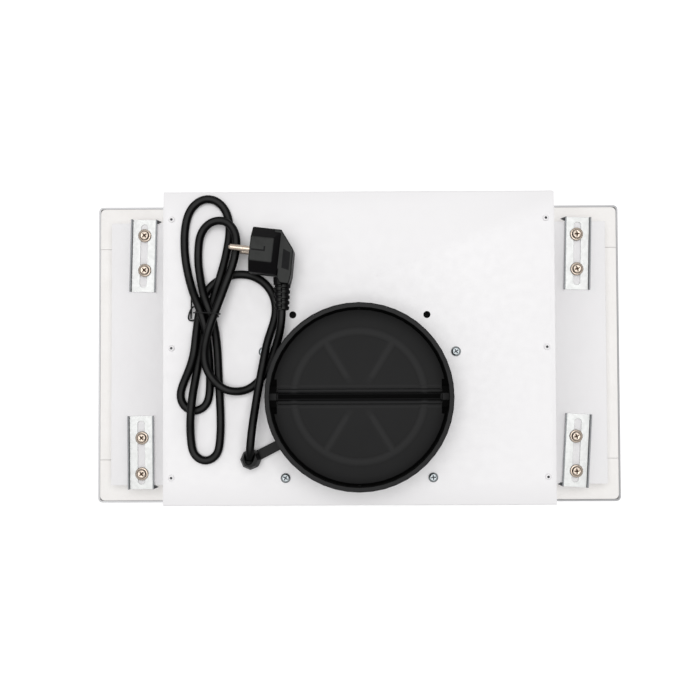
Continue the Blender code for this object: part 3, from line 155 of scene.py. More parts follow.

# Damper flaps: their colours, and the ring, spokes, bar and crease, painted lighter as a highlight
FLAP_BLACK = (0.0033, 0.0033, 0.0035)
FLAP_PAINTED_HIGHLIGHT = (0.0130, 0.0130, 0.0133)
FLAP_PAINTED_HIGHLIGHT_FULL = 1.2
FLAP_WEAR = 0.25
FLAP_RING_RADIUS = 0.0528
FLAP_SPOKE_ANGLE = 31.5
FLAP_SPOKE_START = 0.009
FLAP_SPOKE_FULL = 0.024
FLAP_RIB_SOFT = 0.0042
FLAP_BAR_PLACE = 0.0085
FLAP_BAR_SOFT = 0.0014
FLAP_BAR_SHARE = 0.5
FLAP_CREASE = 0.0057
FLAP_CREASE_HALF = 0.0005

# Mains lead, with the route that its CAD solid follows
CORD_DIAMETER = 0.0067
CORD_POINTS = 480
CORD_SIDE_STEPS = 5
CURVE_FINENESS = 8
CORD_ROUTE = (
    (-0.0888, -0.0496, 0.0149), (-0.0875, -0.0407, 0.0209), (-0.0863, -0.0296, 0.0224),
    (-0.0847, -0.0155, 0.0190), (-0.0826, 0.0003, 0.0146), (-0.0801, 0.0157, 0.0124),
    (-0.0773, 0.0311, 0.0108), (-0.0744, 0.0459, 0.0074), (-0.0704, 0.0591, 0.0042),
    (-0.0683, 0.0715, 0.0034), (-0.0707, 0.0834, 0.0034), (-0.0774, 0.0929, 0.0034),
    (-0.0869, 0.0987, 0.0034), (-0.0968, 0.1004, 0.0034), (-0.1062, 0.0993, 0.0034),
    (-0.1157, 0.0952, 0.0036), (-0.1231, 0.0886, 0.0038), (-0.1279, 0.0799, 0.0044),
    (-0.1308, 0.0692, 0.0049), (-0.1322, 0.0576, 0.0073), (-0.1330, 0.0476, 0.0098),
    (-0.1343, 0.0362, 0.0105), (-0.1379, 0.0241, 0.0084), (-0.1434, 0.0119, 0.0050),
    (-0.1463, 0.0012, 0.0034), (-0.1432, -0.0073, 0.0034), (-0.1345, -0.0113, 0.0034),
    (-0.1259, -0.0067, 0.0034), (-0.1227, 0.0028, 0.0034), (-0.1223, 0.0175, 0.0035),
    (-0.1229, 0.0347, 0.0060), (-0.1239, 0.0492, 0.0097), (-0.1263, 0.0622, 0.0121),
    (-0.1301, 0.0731, 0.0123), (-0.1351, 0.0845, 0.0081), (-0.1393, 0.0972, 0.0043),
    (-0.1423, 0.1122, 0.0034), (-0.1433, 0.1287, 0.0034), (-0.1415, 0.1452, 0.0034),
    (-0.1356, 0.1571, 0.0034), (-0.1247, 0.1627, 0.0034), (-0.1138, 0.1586, 0.0034),
    (-0.1077, 0.1484, 0.0034), (-0.1061, 0.1363, 0.0040), (-0.1073, 0.1232, 0.0064),
    (-0.1097, 0.1097, 0.0094), (-0.1134, 0.0959, 0.0111), (-0.1179, 0.0828, 0.0078),
    (-0.1214, 0.0732, 0.0054), (-0.1246, 0.0618, 0.0047), (-0.1279, 0.0479, 0.0038),
    (-0.1310, 0.0339, 0.0034), (-0.1331, 0.0192, 0.0046), (-0.1351, 0.0045, 0.0088),
    (-0.1365, -0.0092, 0.0108), (-0.1376, -0.0232, 0.0078), (-0.1374, -0.0372, 0.0042),
    (-0.1344, -0.0474, 0.0034), (-0.1259, -0.0520, 0.0034), (-0.1174, -0.0476, 0.0034),
    (-0.1143, -0.0377, 0.0034), (-0.1135, -0.0226, 0.0034), (-0.1141, -0.0030, 0.0034),
    (-0.1151, 0.0167, 0.0034), (-0.1159, 0.0347, 0.0037), (-0.1170, 0.0502, 0.0066),
    (-0.1191, 0.0630, 0.0110), (-0.1226, 0.0731, 0.0130), (-0.1263, 0.0834, 0.0111),
    (-0.1296, 0.0961, 0.0065), (-0.1317, 0.1096, 0.0039), (-0.1317, 0.1211, 0.0039),
    (-0.1296, 0.1324, 0.0058), (-0.1235, 0.1406, 0.0082), (-0.1145, 0.1438, 0.0103),
    (-0.1054, 0.1406, 0.0126), (-0.1000, 0.1319, 0.0150), (-0.0992, 0.1210, 0.0162),
    (-0.1018, 0.1080, 0.0161), (-0.1064, 0.0950, 0.0161), (-0.1111, 0.0820, 0.0171),
    (-0.1156, 0.0698, 0.0182), (-0.1201, 0.0578, 0.0177), (-0.1236, 0.0457, 0.0157),
    (-0.1254, 0.0345, 0.0126), (-0.1240, 0.0236, 0.0110), (-0.1183, 0.0138, 0.0106),
    (-0.1099, 0.0067, 0.0103), (-0.1000, 0.0044, 0.0078), (-0.0901, 0.0067, 0.0046),
    (-0.0812, 0.0141, 0.0034), (-0.0747, 0.0240, 0.0040), (-0.0695, 0.0362, 0.0074),
    (-0.0650, 0.0488, 0.0138), (-0.0626, 0.0603, 0.0183), (-0.0620, 0.0720, 0.0187),
)

# Plug, lying on its side; its own X runs back from its front face
PLUG_FACE_PLACE = (-0.0864, 0.1181)
PLUG_TURN = -6.6
PLUG_RADIUS = 0.0183
PLUG_FLAT = 0.0095
PLUG_TOP_DEPTH = 0.0185
PLUG_SLOPE_END = 0.0236
PLUG_GRIP_OUTLINE = (
    (0.0175, 0.0178), (0.0230, 0.0180), (0.0342, 0.0034), (0.0347, -0.0166), (0.0336, -0.0245),
    (0.0262, -0.0245), (0.0236, -0.0205), (0.0234, -0.0140), (0.0175, -0.0140),
)
PLUG_GRIP_HEIGHT = 0.025
PLUG_EDGE = 0.0011
PLUG_EDGE_SEGMENTS = 3
PLUG_EDGE_ANGLE = 15.0
PLUG_PANEL = ((0.0263, 0.0029), (0.0265, -0.0125), (0.0325, -0.0137), (0.0322, 0.0005))
PLUG_PANEL_DEPTH = 0.0010
PLUG_SLIT = (
    ((0.0016, -0.0015), (0.0125, -0.0015), (0.0125, -0.0003), (0.0016, -0.0003)),
    ((0.0113, -0.0003), (0.0125, -0.0003), (0.0125, 0.0026), (0.0113, 0.0026)),
)
PLUG_SLIT_DEPTH = 0.0025
LEVEL_SHARE = 0.99

# Ribbed strain relief of the plug, from where it leaves the grip
RELIEF_START = Vector((0.0270, -0.0190, 0.0))
RELIEF_END = Vector((0.0297, -0.0452, 0.0))
RELIEF_START_RADIUS = 0.0072
RELIEF_END_RADIUS = 0.0058
RELIEF_RIBS = 6
RELIEF_ROWS = 48
RELIEF_GROOVE = 0.0010
RELIEF_GROOVE_SHARE = 0.34
RELIEF_PLAIN_SHARE = 0.2

# Tie round the folded lead, with its loose tails
TIE_MIDDLE = (-0.124, 0.068)
TIE_TURN = -5.0
TIE_RADIUS = 0.0005
TIE_REACH = 0.020
TIE_SLACK = 0.0008
TIE_STEPS = 48
TIE_TAIL_RADIUS = 0.0007
TIE_TAILS = (
    (
        (-0.1270, 0.0690, 0.0150), (-0.1310, 0.0722, 0.0110), (-0.1348, 0.0738, 0.0070),
        (-0.1371, 0.0725, 0.0050), (-0.1388, 0.0697, 0.0036), (-0.1400, 0.0660, 0.0024),
        (-0.1397, 0.0634, 0.0020), (-0.1374, 0.0627, 0.0022), (-0.1348, 0.0631, 0.0050),
        (-0.1307, 0.0650, 0.0100), (-0.1261, 0.0660, 0.0150),
    ),
    (
        (-0.1388, 0.0876, 0.0020), (-0.1378, 0.0835, 0.0030), (-0.1373, 0.0780, 0.0045),
        (-0.1371, 0.0734, 0.0060), (-0.1376, 0.0688, 0.0040), (-0.1380, 0.0642, 0.0022),
    ),
    (
        (-0.1211, 0.0672, 0.0160), (-0.1175, 0.0662, 0.0120), (-0.1150, 0.0655, 0.0080),
        (-0.1156, 0.0670, 0.0060),
    ),
)

# Bottom frame: the levels of its lip, painted grey as shade, and where that painted shade goes from light
# to dark as X less Y grows
LIP_START = 0.0070
LIP_TOP = 0.0077
LIP_LIGHT_SHADE = (0.66, 0.66, 0.67)
LIP_DARK_SHADE = (0.40, 0.40, 0.41)
LIP_LIGHT_SHADE_END = -0.10
LIP_DARK_SHADE_START = 0.30

# Clamp brackets: levels and colours of plate, sheared edges, lips and tabs; the edges are painted light,
# the lips and tabs painted shade
BRACKET_PLATE_TOP = 0.0297
BRACKET_LIP_START = 0.0303
BRACKET_TAB_TOP = 0.0312
BRACKET_TAB_SOFT = 0.0005
ZINC_PLATE = (0.405, 0.41, 0.405)
ZINC_EDGE_PAINTED_LIGHT = (0.80, 0.80, 0.80)
ZINC_LIP_PAINTED_SHADE = (0.15, 0.155, 0.16)
ZINC_TAB_PAINTED_SHADE = (0.02, 0.02, 0.021)

# Screws and rivets: profiles of (radius, height over the seat, share of the cross) from the rim to the
# recess, radii of the shanks, and how far the heads are turned in degrees
CLAMP_SCREW_PROFILE = (
    (0.0064, 0.0, 0), (0.0064, 0.0009, 0), (0.0061, 0.0012, 0), (0.0049, 0.0013, 0), (0.0046, 0.0018, 0),
    (0.0043, 0.0031, 0), (0.0038, 0.0037, 0), (0.0030, 0.0038, 0), (0.0027, 0.0036, 1), (0.0021, 0.0022, 1),
    (0.0, 0.0020, 0),
)
CLAMP_SCREW_SHANK = 0.0019
CLAMP_SCREW_TURNS = (45.0, 40.0, 20.0, 5.0)
BLOWER_SCREW_PROFILE = (
    (0.0040, 0.0, 0), (0.0040, 0.0008, 0), (0.0037, 0.0016, 0), (0.0030, 0.0022, 0), (0.0022, 0.0024, 0),
    (0.0019, 0.0022, 1), (0.0013, 0.0010, 1), (0.0, 0.0009, 0),
)
BLOWER_SCREW_SHANK = 0.0019
BLOWER_SCREW_TURNS = (10.0, 35.0, 60.0)
RIVET_PROFILE = (
    (0.0026, 0.0, 0), (0.0025, 0.0004, 0), (0.0021, 0.0008, 0), (0.0015, 0.0011, 0), (0.0011, 0.0010, 0),
    (0.0010, 0.0003, 0), (0.0, 0.0002, 0),
)
RIVET_SHANK = 0.0015
RIVET_TURNS = (0.0,)
RECESS_ROWS = 2
CROSS_WAIST = 0.42
CROSS_POINTEDNESS = 4
ROUND_STEPS = 32

# Tubes: sides, and how little a run may lean before it counts as upright
TUBE_SIDES = 8
UPRIGHT_LEAN = 0.1

# Expanded metal screen on the grease filter
SCREEN_PITCH = 0.0066
SCREEN_STEP = 0.0050
SCREEN_STRAND = 0.0007
SCREEN_SIDES = 4


def linked_object(name, data):
    """A new object in the scene."""
    piece = bpy.data.objects.new(name, data)
    bpy.context.scene.collection.objects.link(piece)
    return piece


def mesh_from(bm, name):
    """The mesh of what was modelled, which is then freed."""
    mesh = bpy.data.meshes.new(name)
    bm.to_mesh(mesh)
    bm.free()
    return mesh


def merge(bm, other):
    """Add another modelled form to the first."""
    mesh = mesh_from(other, "merged")
    bm.from_mesh(mesh)
    bpy.data.meshes.remove(mesh)
    bm.normal_update()


# Camera

def make_camera():
    lens = bpy.data.cameras.new("camera")
    lens.lens = CAMERA_LENS
    lens.sensor_width = CAMERA_SENSOR
    camera = linked_object("camera", lens)
    camera.location = CAMERA_PLACE
    camera.rotation_euler = [math.radians(angle) for angle in CAMERA_TURN]
    bpy.context.scene.camera = camera


# Nodes of a material or a sky, which is called the paint here

def start_material(name, colour, roughness, metallic=0.0, specular=0.5):
    """A Principled material with its plain values set on the shader's own sockets."""
    paint = bpy.data.materials.new(name)
    paint.use_nodes = True
    shader = shader_of(paint)
    shader.inputs["Base Color"].default_value = (*colour, 1.0)
    shader.inputs["Roughness"].default_value = roughness
    shader.inputs["Metallic"].default_value = metallic
    shader.inputs["Specular IOR Level"].default_value = specular
    return paint


def shader_of(paint):
    return paint.node_tree.nodes["Principled BSDF"]


def join(paint, source, target):
    paint.node_tree.links.new(source, target)


def coordinates(paint, stretch=(1, 1, 1)):
    """Places on the object in metres, stretched along its axes."""
    nodes = paint.node_tree.nodes
    place = nodes.new("ShaderNodeTexCoord")
    scaled = nodes.new("ShaderNodeMapping")
    scaled.inputs["Scale"].default_value = stretch
    join(paint, place.outputs["Object"], scaled.inputs["Vector"])
    return scaled.outputs["Vector"]


def noise(paint, scale, detail=2.0, stretch=(1, 1, 1)):
    cloud = paint.node_tree.nodes.new("ShaderNodeTexNoise")
    cloud.inputs["Scale"].default_value = scale
    cloud.inputs["Detail"].default_value = detail
    join(paint, coordinates(paint, stretch), cloud.inputs["Vector"])
    return cloud.outputs["Fac"]


def cells(paint, scale, output="Distance", feature="F1"):
    pattern = paint.node_tree.nodes.new("ShaderNodeTexVoronoi")
    pattern.feature = feature
    pattern.inputs["Scale"].default_value = scale
    join(paint, coordinates(paint), pattern.inputs["Vector"])
    return pattern.outputs[output]


def reckon(paint, operation, *values):
    """A sum on sockets and plain numbers."""
    node = paint.node_tree.nodes.new("ShaderNodeMath")
    node.operation = operation
    for slot, value in zip(node.inputs, values):
        if isinstance(value, (int, float)):
            slot.default_value = value
        else:
            join(paint, value, slot)
    return node.outputs["Value"]


def size_of(paint, value):
    return reckon(paint, "ABSOLUTE", value)


def apart(paint, one, two):
    """How far two values are apart."""
    return size_of(paint, reckon(paint, "SUBTRACT", one, two))


def all_of(paint, *masks):
    """1 where every mask is 1."""
    result = masks[0]
    for mask in masks[1:]:
        result = reckon(paint, "MULTIPLY", result, mask)
    return result


def all_but(paint, mask):
    """1 where a mask is 0."""
    return reckon(paint, "SUBTRACT", 1.0, mask)


def spread(paint, value, ends, results, interpolation="LINEAR"):
    """Carry a value over from between two ends to between two results."""
    node = paint.node_tree.nodes.new("ShaderNodeMapRange")
    node.interpolation_type = interpolation
    for name, number in zip(("From Min", "From Max", "To Min", "To Max"), (*ends, *results)):
        node.inputs[name].default_value = number
    join(paint, value, node.inputs["Value"])
    return node.outputs["Result"]


def fade(paint, value, full, none):
    """1 where a value is at or past full, and softly down to 0 at none."""
    return spread(paint, value, (full, none), (1.0, 0.0), "SMOOTHSTEP")


def place_from(paint, middle):
    """Distances along X, Y and Z from a middle, and the distance from its upright axis."""
    split = paint.node_tree.nodes.new("ShaderNodeSeparateXYZ")
    join(paint, coordinates(paint), split.inputs["Vector"])
    away = [reckon(paint, "SUBTRACT", split.outputs[axis], middle[axis]) for axis in range(3)]
    squares = [reckon(paint, "MULTIPLY", part, part) for part in away[:2]]
    return (*away, reckon(paint, "SQRT", reckon(paint, "ADD", *squares)))


def facing_up(paint):
    """The upward part of the surface's own normal: 1 on a level top, 0 on a side."""
    nodes = paint.node_tree.nodes
    facing = nodes.new("ShaderNodeTexCoord")
    split = nodes.new("ShaderNodeSeparateXYZ")
    join(paint, facing.outputs["Normal"], split.inputs["Vector"])
    return split.outputs["Z"]


def seen_directly(paint):
    """1 for what the camera, a gloss or glass looks at, and 0 for what only casts light."""
    path = paint.node_tree.nodes.new("ShaderNodeLightPath")
    camera, gloss, glass = (path.outputs[f"Is {ray} Ray"] for ray in ("Camera", "Glossy", "Transmission"))
    return reckon(paint, "MAXIMUM", reckon(paint, "MAXIMUM", camera, gloss), glass)


def blend(paint, factor, first, second):
    """A colour that goes from the first to the second as a factor goes from 0 to 1."""
    mixer = paint.node_tree.nodes.new("ShaderNodeMix")
    mixer.data_type = "RGBA"
    ends = [slot for slot in mixer.inputs if slot.type == "RGBA"]
    for slot, colour in zip(ends, (first, second)):
        if isinstance(colour, tuple):
            slot.default_value = (*colour, 1.0)
        else:
            join(paint, colour, slot)
    join(paint, factor, mixer.inputs["Factor"])
    return next(slot for slot in mixer.outputs if slot.type == "RGBA")


def colour_by(paint, colour):
    join(paint, colour, shader_of(paint).inputs["Base Color"])


def colour_between(paint, factor, dark, light, low=NOISE_LOW, high=NOISE_HIGH):
    """The base colour goes from dark to light as a factor goes from low to high."""
    ramp = paint.node_tree.nodes.new("ShaderNodeValToRGB")
    first, last = ramp.color_ramp.elements
    first.position = low
    first.color = (*dark, 1.0)
    last.position = high
    last.color = (*light, 1.0)
    join(paint, factor, ramp.inputs["Fac"])
    colour_by(paint, ramp.outputs["Color"])


def roughness_between(paint, factor, smooth, rough, low=NOISE_LOW, high=NOISE_HIGH):
    """The roughness goes from smooth to rough as a factor goes from low to high."""
    join(paint, spread(paint, factor, (low, high), (smooth, rough)), shader_of(paint).inputs["Roughness"])


Layer = namedtuple("Layer", "height strength depth")


def bump(paint, *layers):
    """Fine relief from layers of a height, a strength and a depth, each on top of the one before."""
    below = None
    for layer in layers:
        relief = paint.node_tree.nodes.new("ShaderNodeBump")
        relief.inputs["Strength"].default_value = layer.strength
        relief.inputs["Distance"].default_value = layer.depth
        join(paint, layer.height, relief.inputs["Height"])
        if below:
            join(paint, below, relief.inputs["Normal"])
        below = relief.outputs["Normal"]
    join(paint, below, shader_of(paint).inputs["Normal"])


# Materials

def powder_coat(name, shaded_lip=False):
    """White stoved paint with a fine orange peel. A shaded lip is painted grey as shade, darkest at its
    right and front.
    """
    paint = start_material(name, COAT_LIGHT, roughness=0.42)
    colour_between(paint, noise(paint, scale=9.0, detail=4.0), COAT_DARK, COAT_LIGHT)
    if shaded_lip:
        # Painted shade: the lip is grey, darker towards the right and the front.
        coat = shader_of(paint).inputs["Base Color"].links[0].from_socket
        x, y, height, _ = place_from(paint, ORIGIN)
        pale = fade(paint, reckon(paint, "SUBTRACT", x, y), LIP_LIGHT_SHADE_END, LIP_DARK_SHADE_START)
        lip = blend(paint, pale, LIP_DARK_SHADE, LIP_LIGHT_SHADE)
        colour_by(paint, blend(paint, fade(paint, height, LIP_START, LIP_TOP), lip, coat))
    roughness_between(paint, noise(paint, scale=150.0), smooth=0.38, rough=0.50)
    bump(paint, Layer(noise(paint, scale=650.0), strength=0.10, depth=0.0002),
         Layer(noise(paint, scale=35.0), strength=0.05, depth=0.0006))
    return paint


def foam():
    """Pale closed-cell foam strip."""
    paint = start_material("cream_foam", FOAM_LIGHT, roughness=0.85, specular=0.2)
    colour_between(paint, noise(paint, scale=60.0, detail=5.0), FOAM_DARK, FOAM_LIGHT)
    bump(paint, Layer(cells(paint, scale=900.0), strength=0.25, depth=0.0003),
         Layer(noise(paint, scale=90.0, detail=4.0), strength=0.3, depth=0.0006))
    return paint


def zinc_sheet():
    """Galvanised sheet with faint spangle; its sheared edges are painted lighter, and the bent lips and the
    tabs painted darker as shade.
    """
    paint = start_material("zinc_sheet", ZINC_PLATE, roughness=0.38, metallic=1.0)
    level = facing_up(paint)
    _, _, height, _ = place_from(paint, ORIGIN)
    # Painted light: the sides of the sheet are lighter than the plate.
    plate = blend(paint, level, ZINC_EDGE_PAINTED_LIGHT, ZINC_PLATE)
    on_plate = fade(paint, height, BRACKET_PLATE_TOP, BRACKET_LIP_START)
    at_tab = fade(paint, apart(paint, height, BRACKET_TAB_TOP), 0.0, BRACKET_TAB_SOFT)
    # Painted shade: the bent lips are darker, and the level tops at the tabs near black.
    colour = blend(paint, on_plate, ZINC_LIP_PAINTED_SHADE, plate)
    colour_by(paint, blend(paint, all_of(paint, at_tab, level), colour, ZINC_TAB_PAINTED_SHADE))
    roughness_between(paint, cells(paint, scale=420.0, output="Color"), smooth=0.38, rough=0.43)
    rolling = noise(paint, scale=900.0, detail=3.0, stretch=(1.0, 0.12, 1.0))
    bump(paint, Layer(rolling, strength=0.04, depth=0.0001))
    return paint


def bright_metal(name, colour, smooth, rough):
    """Plated or bare metal of a small fitting, with slight handling marks."""
    paint = start_material(name, colour, smooth, metallic=1.0)
    light = [min(1.0, part * METAL_LIGHTER) for part in colour]
    dark = [part * METAL_DARKER for part in colour]
    colour_between(paint, noise(paint, scale=700.0, detail=3.0), dark, light)
    roughness_between(paint, noise(paint, scale=1200.0, detail=3.0), smooth, rough)
    bump(paint, Layer(noise(paint, scale=2500.0), strength=0.08, depth=0.0001))
    return paint


def brushed_aluminium():
    paint = start_material("brushed_aluminium", ALUMINIUM_LIGHT, roughness=0.36, metallic=1.0)
    colour_between(paint, noise(paint, scale=40.0, detail=4.0), ALUMINIUM_DARK, ALUMINIUM_LIGHT)
    brushing = noise(paint, scale=900.0, detail=3.0, stretch=(0.04, 1.0, 1.0))
    roughness_between(paint, brushing, smooth=0.28, rough=0.46)
    scratches = noise(paint, scale=1600.0, stretch=(0.03, 1.0, 1.0))
    bump(paint, Layer(scratches, strength=0.12, depth=0.0001))
    return paint


def mottle_roughness(paint, roughness):
    """Let the roughness of a moulded surface vary a little from place to place."""
    mottling = noise(paint, scale=260.0, detail=3.0)
    roughness_between(paint, mottling, roughness - MOTTLE_SMOOTHER, roughness + MOTTLE_ROUGHER)


def moulded_plastic(name, dark, light, roughness, specular=0.35, grain=1500.0):
    """Injection-moulded plastic with an eroded grain."""
    paint = start_material(name, light, roughness, specular=specular)
    colour_between(paint, noise(paint, scale=120.0, detail=4.0), dark, light)
    mottle_roughness(paint, roughness)
    bump(paint, Layer(noise(paint, grain), strength=0.12, depth=0.0002))
    return paint


def black_rubber(name, dark, dusty_and_lit, roughness):
    """Soft black rubber, greyed where it faces up by a dusting and by a painted highlight of the light from
    above.
    """
    paint = start_material(name, dark, roughness, specular=0.05)
    patches = reckon(paint, "ADD", noise(paint, scale=120.0, detail=4.0), DUST_AND_HIGHLIGHT_LIFT)
    # Painted highlight: the colour goes lighter where the rubber faces up, in noisy patches like a dusting.
    dust_and_highlight = all_of(paint, fade(paint, facing_up(paint), 1.0, DUST_AND_HIGHLIGHT_START), patches)
    colour_between(paint, dust_and_highlight, dark, dusty_and_lit, low=0.0, high=1.0)
    mottle_roughness(paint, roughness)
    bump(paint, Layer(noise(paint, scale=1200.0), strength=0.10, depth=0.0002))
    return paint


def collar_plastic():
    """Black plastic of the duct collar, painted near black inside its bore as shade, with a grey painted
    highlight on the ledge along its bridge.
    """
    paint = start_material("collar_plastic", COLLAR_BLACK, COLLAR_ROUGHNESS, specular=0.12)
    x, y, height, radius = place_from(paint, COLLAR_MIDDLE)
    x, y = size_of(paint, x), size_of(paint, y)
    within = fade(paint, radius, BORE_RADIUS - BORE_SOFT, BORE_RADIUS)
    under_rim = fade(paint, height, BORE_TOP - BORE_SOFT, BORE_TOP)
    at_end = fade(paint, reckon(paint, "SUBTRACT", BORE_RADIUS, x), LUG_REACH - BORE_SOFT, LUG_REACH)
    on_bridge = fade(paint, y, LUG_HALF, LUG_HALF + BORE_SOFT)
    beside_slot = fade(paint, y, SLOT_HALF + BORE_SOFT / 2, SLOT_HALF)
    lug = all_of(paint, on_bridge, at_end)
    # Painted shade: the bore is near black, all but the lugs.
    bore = all_of(paint, within, under_rim, all_but(paint, lug))
    # Painted highlight: the ledge beside the slot is grey.
    ledge = all_of(paint, on_bridge, beside_slot, all_but(paint, at_end))
    colour = blend(paint, bore, COLLAR_BLACK, BORE_PAINTED_SHADE)
    colour_by(paint, blend(paint, ledge, colour, LEDGE_PAINTED_HIGHLIGHT))
    roughness_between(paint, bore, COLLAR_ROUGHNESS, BORE_ROUGHNESS, low=0.0, high=1.0)
    bump(paint, Layer(noise(paint, scale=1500.0), strength=0.08, depth=0.0002))
    return paint


def flap_plastic():
    """Dark plastic of the damper flaps, with a painted highlight along their ring, spokes, bar and crease.
    """
    paint = start_material("flap_plastic", FLAP_BLACK, roughness=0.5, specular=0.11)
    x, y, _, radius = place_from(paint, COLLAR_MIDDLE)
    x, y = size_of(paint, x), size_of(paint, y)
    ring = fade(paint, apart(paint, radius, FLAP_RING_RADIUS), 0.0, FLAP_RIB_SOFT)
    lean = math.radians(FLAP_SPOKE_ANGLE)
    from_spoke = apart(paint, reckon(paint, "MULTIPLY", x, math.cos(lean)),
                       reckon(paint, "MULTIPLY", y, math.sin(lean)))
    spoke = all_of(paint, fade(paint, from_spoke, 0.0, FLAP_RIB_SOFT),
                   fade(paint, radius, FLAP_RING_RADIUS, FLAP_RING_RADIUS + FLAP_RIB_SOFT),
                   fade(paint, radius, FLAP_SPOKE_FULL, FLAP_SPOKE_START))
    bar = fade(paint, apart(paint, y, FLAP_BAR_PLACE), 0.0, FLAP_BAR_SOFT)
    bar = reckon(paint, "MULTIPLY", bar, FLAP_BAR_SHARE)
    crease = fade(paint, apart(paint, y, FLAP_CREASE), FLAP_CREASE_HALF, 2 * FLAP_CREASE_HALF)
    # Painted highlight: the ring, spokes, bar and crease are lighter, as where light catches them.
    highlight_mask = ring
    for form in (spoke, bar, crease):
        highlight_mask = reckon(paint, "MAXIMUM", highlight_mask, form)
    worn = reckon(paint, "MULTIPLY", noise(paint, scale=60.0, detail=3.0), FLAP_WEAR)
    tone = reckon(paint, "ADD", highlight_mask, worn)
    colour_between(paint, tone, FLAP_BLACK, FLAP_PAINTED_HIGHLIGHT, low=0.0, high=FLAP_PAINTED_HIGHLIGHT_FULL)
    bump(paint, Layer(noise(paint, scale=1500.0), strength=0.06, depth=0.0002),
         Layer(highlight_mask, strength=0.3, depth=0.0003))
    return paint


def frosted_lens():
    """Lamp glass with a pebbled face."""
    paint = start_material("frosted_lens", LENS_PALE, roughness=0.28)
    shader_of(paint).inputs["Transmission Weight"].default_value = 0.7
    roughness_between(paint, noise(paint, scale=300.0), smooth=0.22, rough=0.38)
    bump(paint, Layer(cells(paint, scale=420.0, feature="SMOOTH_F1"), strength=0.5, depth=0.0006))
    return paint


# Pieces

def dress(node, look, edge=0.0, segments=EDGE_SEGMENTS):
    """Give a CAD node its finish, and round its sharp edges by a modifier unless they stay as they are."""
    piece = frame["nodes"][node]
    mesh = piece.data
    mesh.materials.clear()
    mesh.materials.append(look)
    for kept in ("custom_normal", "sharp_edge", "sharp_face"):
        if kept in mesh.attributes:
            mesh.attributes.remove(mesh.attributes[kept])
    mesh.polygons.foreach_set("use_smooth", [edge > 0] * len(mesh.polygons))
    if not edge:
        return piece
    weld = piece.modifiers.new("Weld", "WELD")
    weld.merge_threshold = WELD_DISTANCE
    rounding = piece.modifiers.new("Edges", "BEVEL")
    rounding.width = edge
    rounding.segments = segments
    rounding.limit_method = "ANGLE"
    rounding.angle_limit = math.radians(EDGE_ANGLE)
    rounding.harden_normals = True
    return piece


def add_piece(name, bm, looks, stands_for=(), body="hood", sharp=40.0):
    """Finish a modelled piece, smooth but for edges over a sharp angle, and put it on its body."""
    bmesh.ops.recalc_face_normals(bm, faces=bm.faces)
    mesh = mesh_from(bm, name)
    for look in looks:
        mesh.materials.append(look)
    mesh.polygons.foreach_set("use_smooth", [True] * len(mesh.polygons))
    mesh.set_sharp_from_angle(angle=math.radians(sharp))
    piece = linked_object(name, mesh)
    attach(piece, body)
    if stands_for:
        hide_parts(*stands_for)
    return piece


def add_skin(bm, rings):
    """Faces from ring to ring of corners, and over the first and the last."""
    rows = [[bm.verts.new(corner) for corner in ring] for ring in rings]
    for lower, upper in zip(rows, rows[1:]):
        for step in range(len(lower)):
            after = (step + 1) % len(lower)
            bm.faces.new((lower[step], lower[after], upper[after], upper[step]))
    bm.faces.new(rows[0])
    bm.faces.new(rows[-1])


def cross_share(angle):
    """How far a cross recess reaches at an angle, from its waist to 1 along its arms."""
    return CROSS_WAIST + (1 - CROSS_WAIST) * abs(math.cos(2 * angle)) ** CROSS_POINTEDNESS


def add_turned(bm, profile, matrix, turn):
    """A turned shell from (radius, height, share of the cross) points; returns its rows of faces."""
    rings = []
    for radius, height, cross in profile:
        if radius == 0:
            rings.append([bm.verts.new(matrix @ Vector((0, 0, height)))])
            continue
        ring = []
        for step in range(ROUND_STEPS):
            angle = 2 * math.pi * step / ROUND_STEPS
            reach = radius * (1 - cross + cross * cross_share(angle))
            spot = Vector((math.cos(angle + turn) * reach, math.sin(angle + turn) * reach, height))
            ring.append(bm.verts.new(matrix @ spot))
        rings.append(ring)
    rows = []
    for lower, upper in zip(rings, rings[1:]):
        row = []
        for step in range(ROUND_STEPS):
            after = (step + 1) % ROUND_STEPS
            corners = [lower[step % len(lower)], lower[after % len(lower)]]
            corners += [upper[after % len(upper)], upper[step % len(upper)]]
            row.append(bm.faces.new(list(dict.fromkeys(corners))))
        rows.append(row)
    return rows


def add_tube(bm, points, radius, sides=TUBE_SIDES, cyclic=False):
    """A round tube along points, with its ends closed unless it is a loop."""
    count = len(points)
    rings = []
    guide = Vector((0, 0, 1))
    for i, point in enumerate(points):
        before = points[i - 1] if i or cyclic else point
        after = points[(i + 1) % count] if i + 1 < count or cyclic else point
        along = (after - before).normalized()
        across = along.cross(guide)
        if across.length < UPRIGHT_LEAN:
            across = along.orthogonal()
        across.normalize()
        guide = across.cross(along)
        ring = []
        for side in range(sides):
            angle = 2 * math.pi * side / sides
            out = across * math.cos(angle) + guide * math.sin(angle)
            ring.append(bm.verts.new(point + out * radius))
        rings.append(ring)
    pairs = list(zip(rings, rings[1:]))
    if cyclic:
        pairs.append((rings[-1], rings[0]))
    for one, two in pairs:
        for side in range(sides):
            after = (side + 1) % sides
            bm.faces.new((one[side], one[after], two[after], two[side]))
    if not cyclic:
        bm.faces.new(rings[0])
        bm.faces.new(rings[-1])


# Mains lead

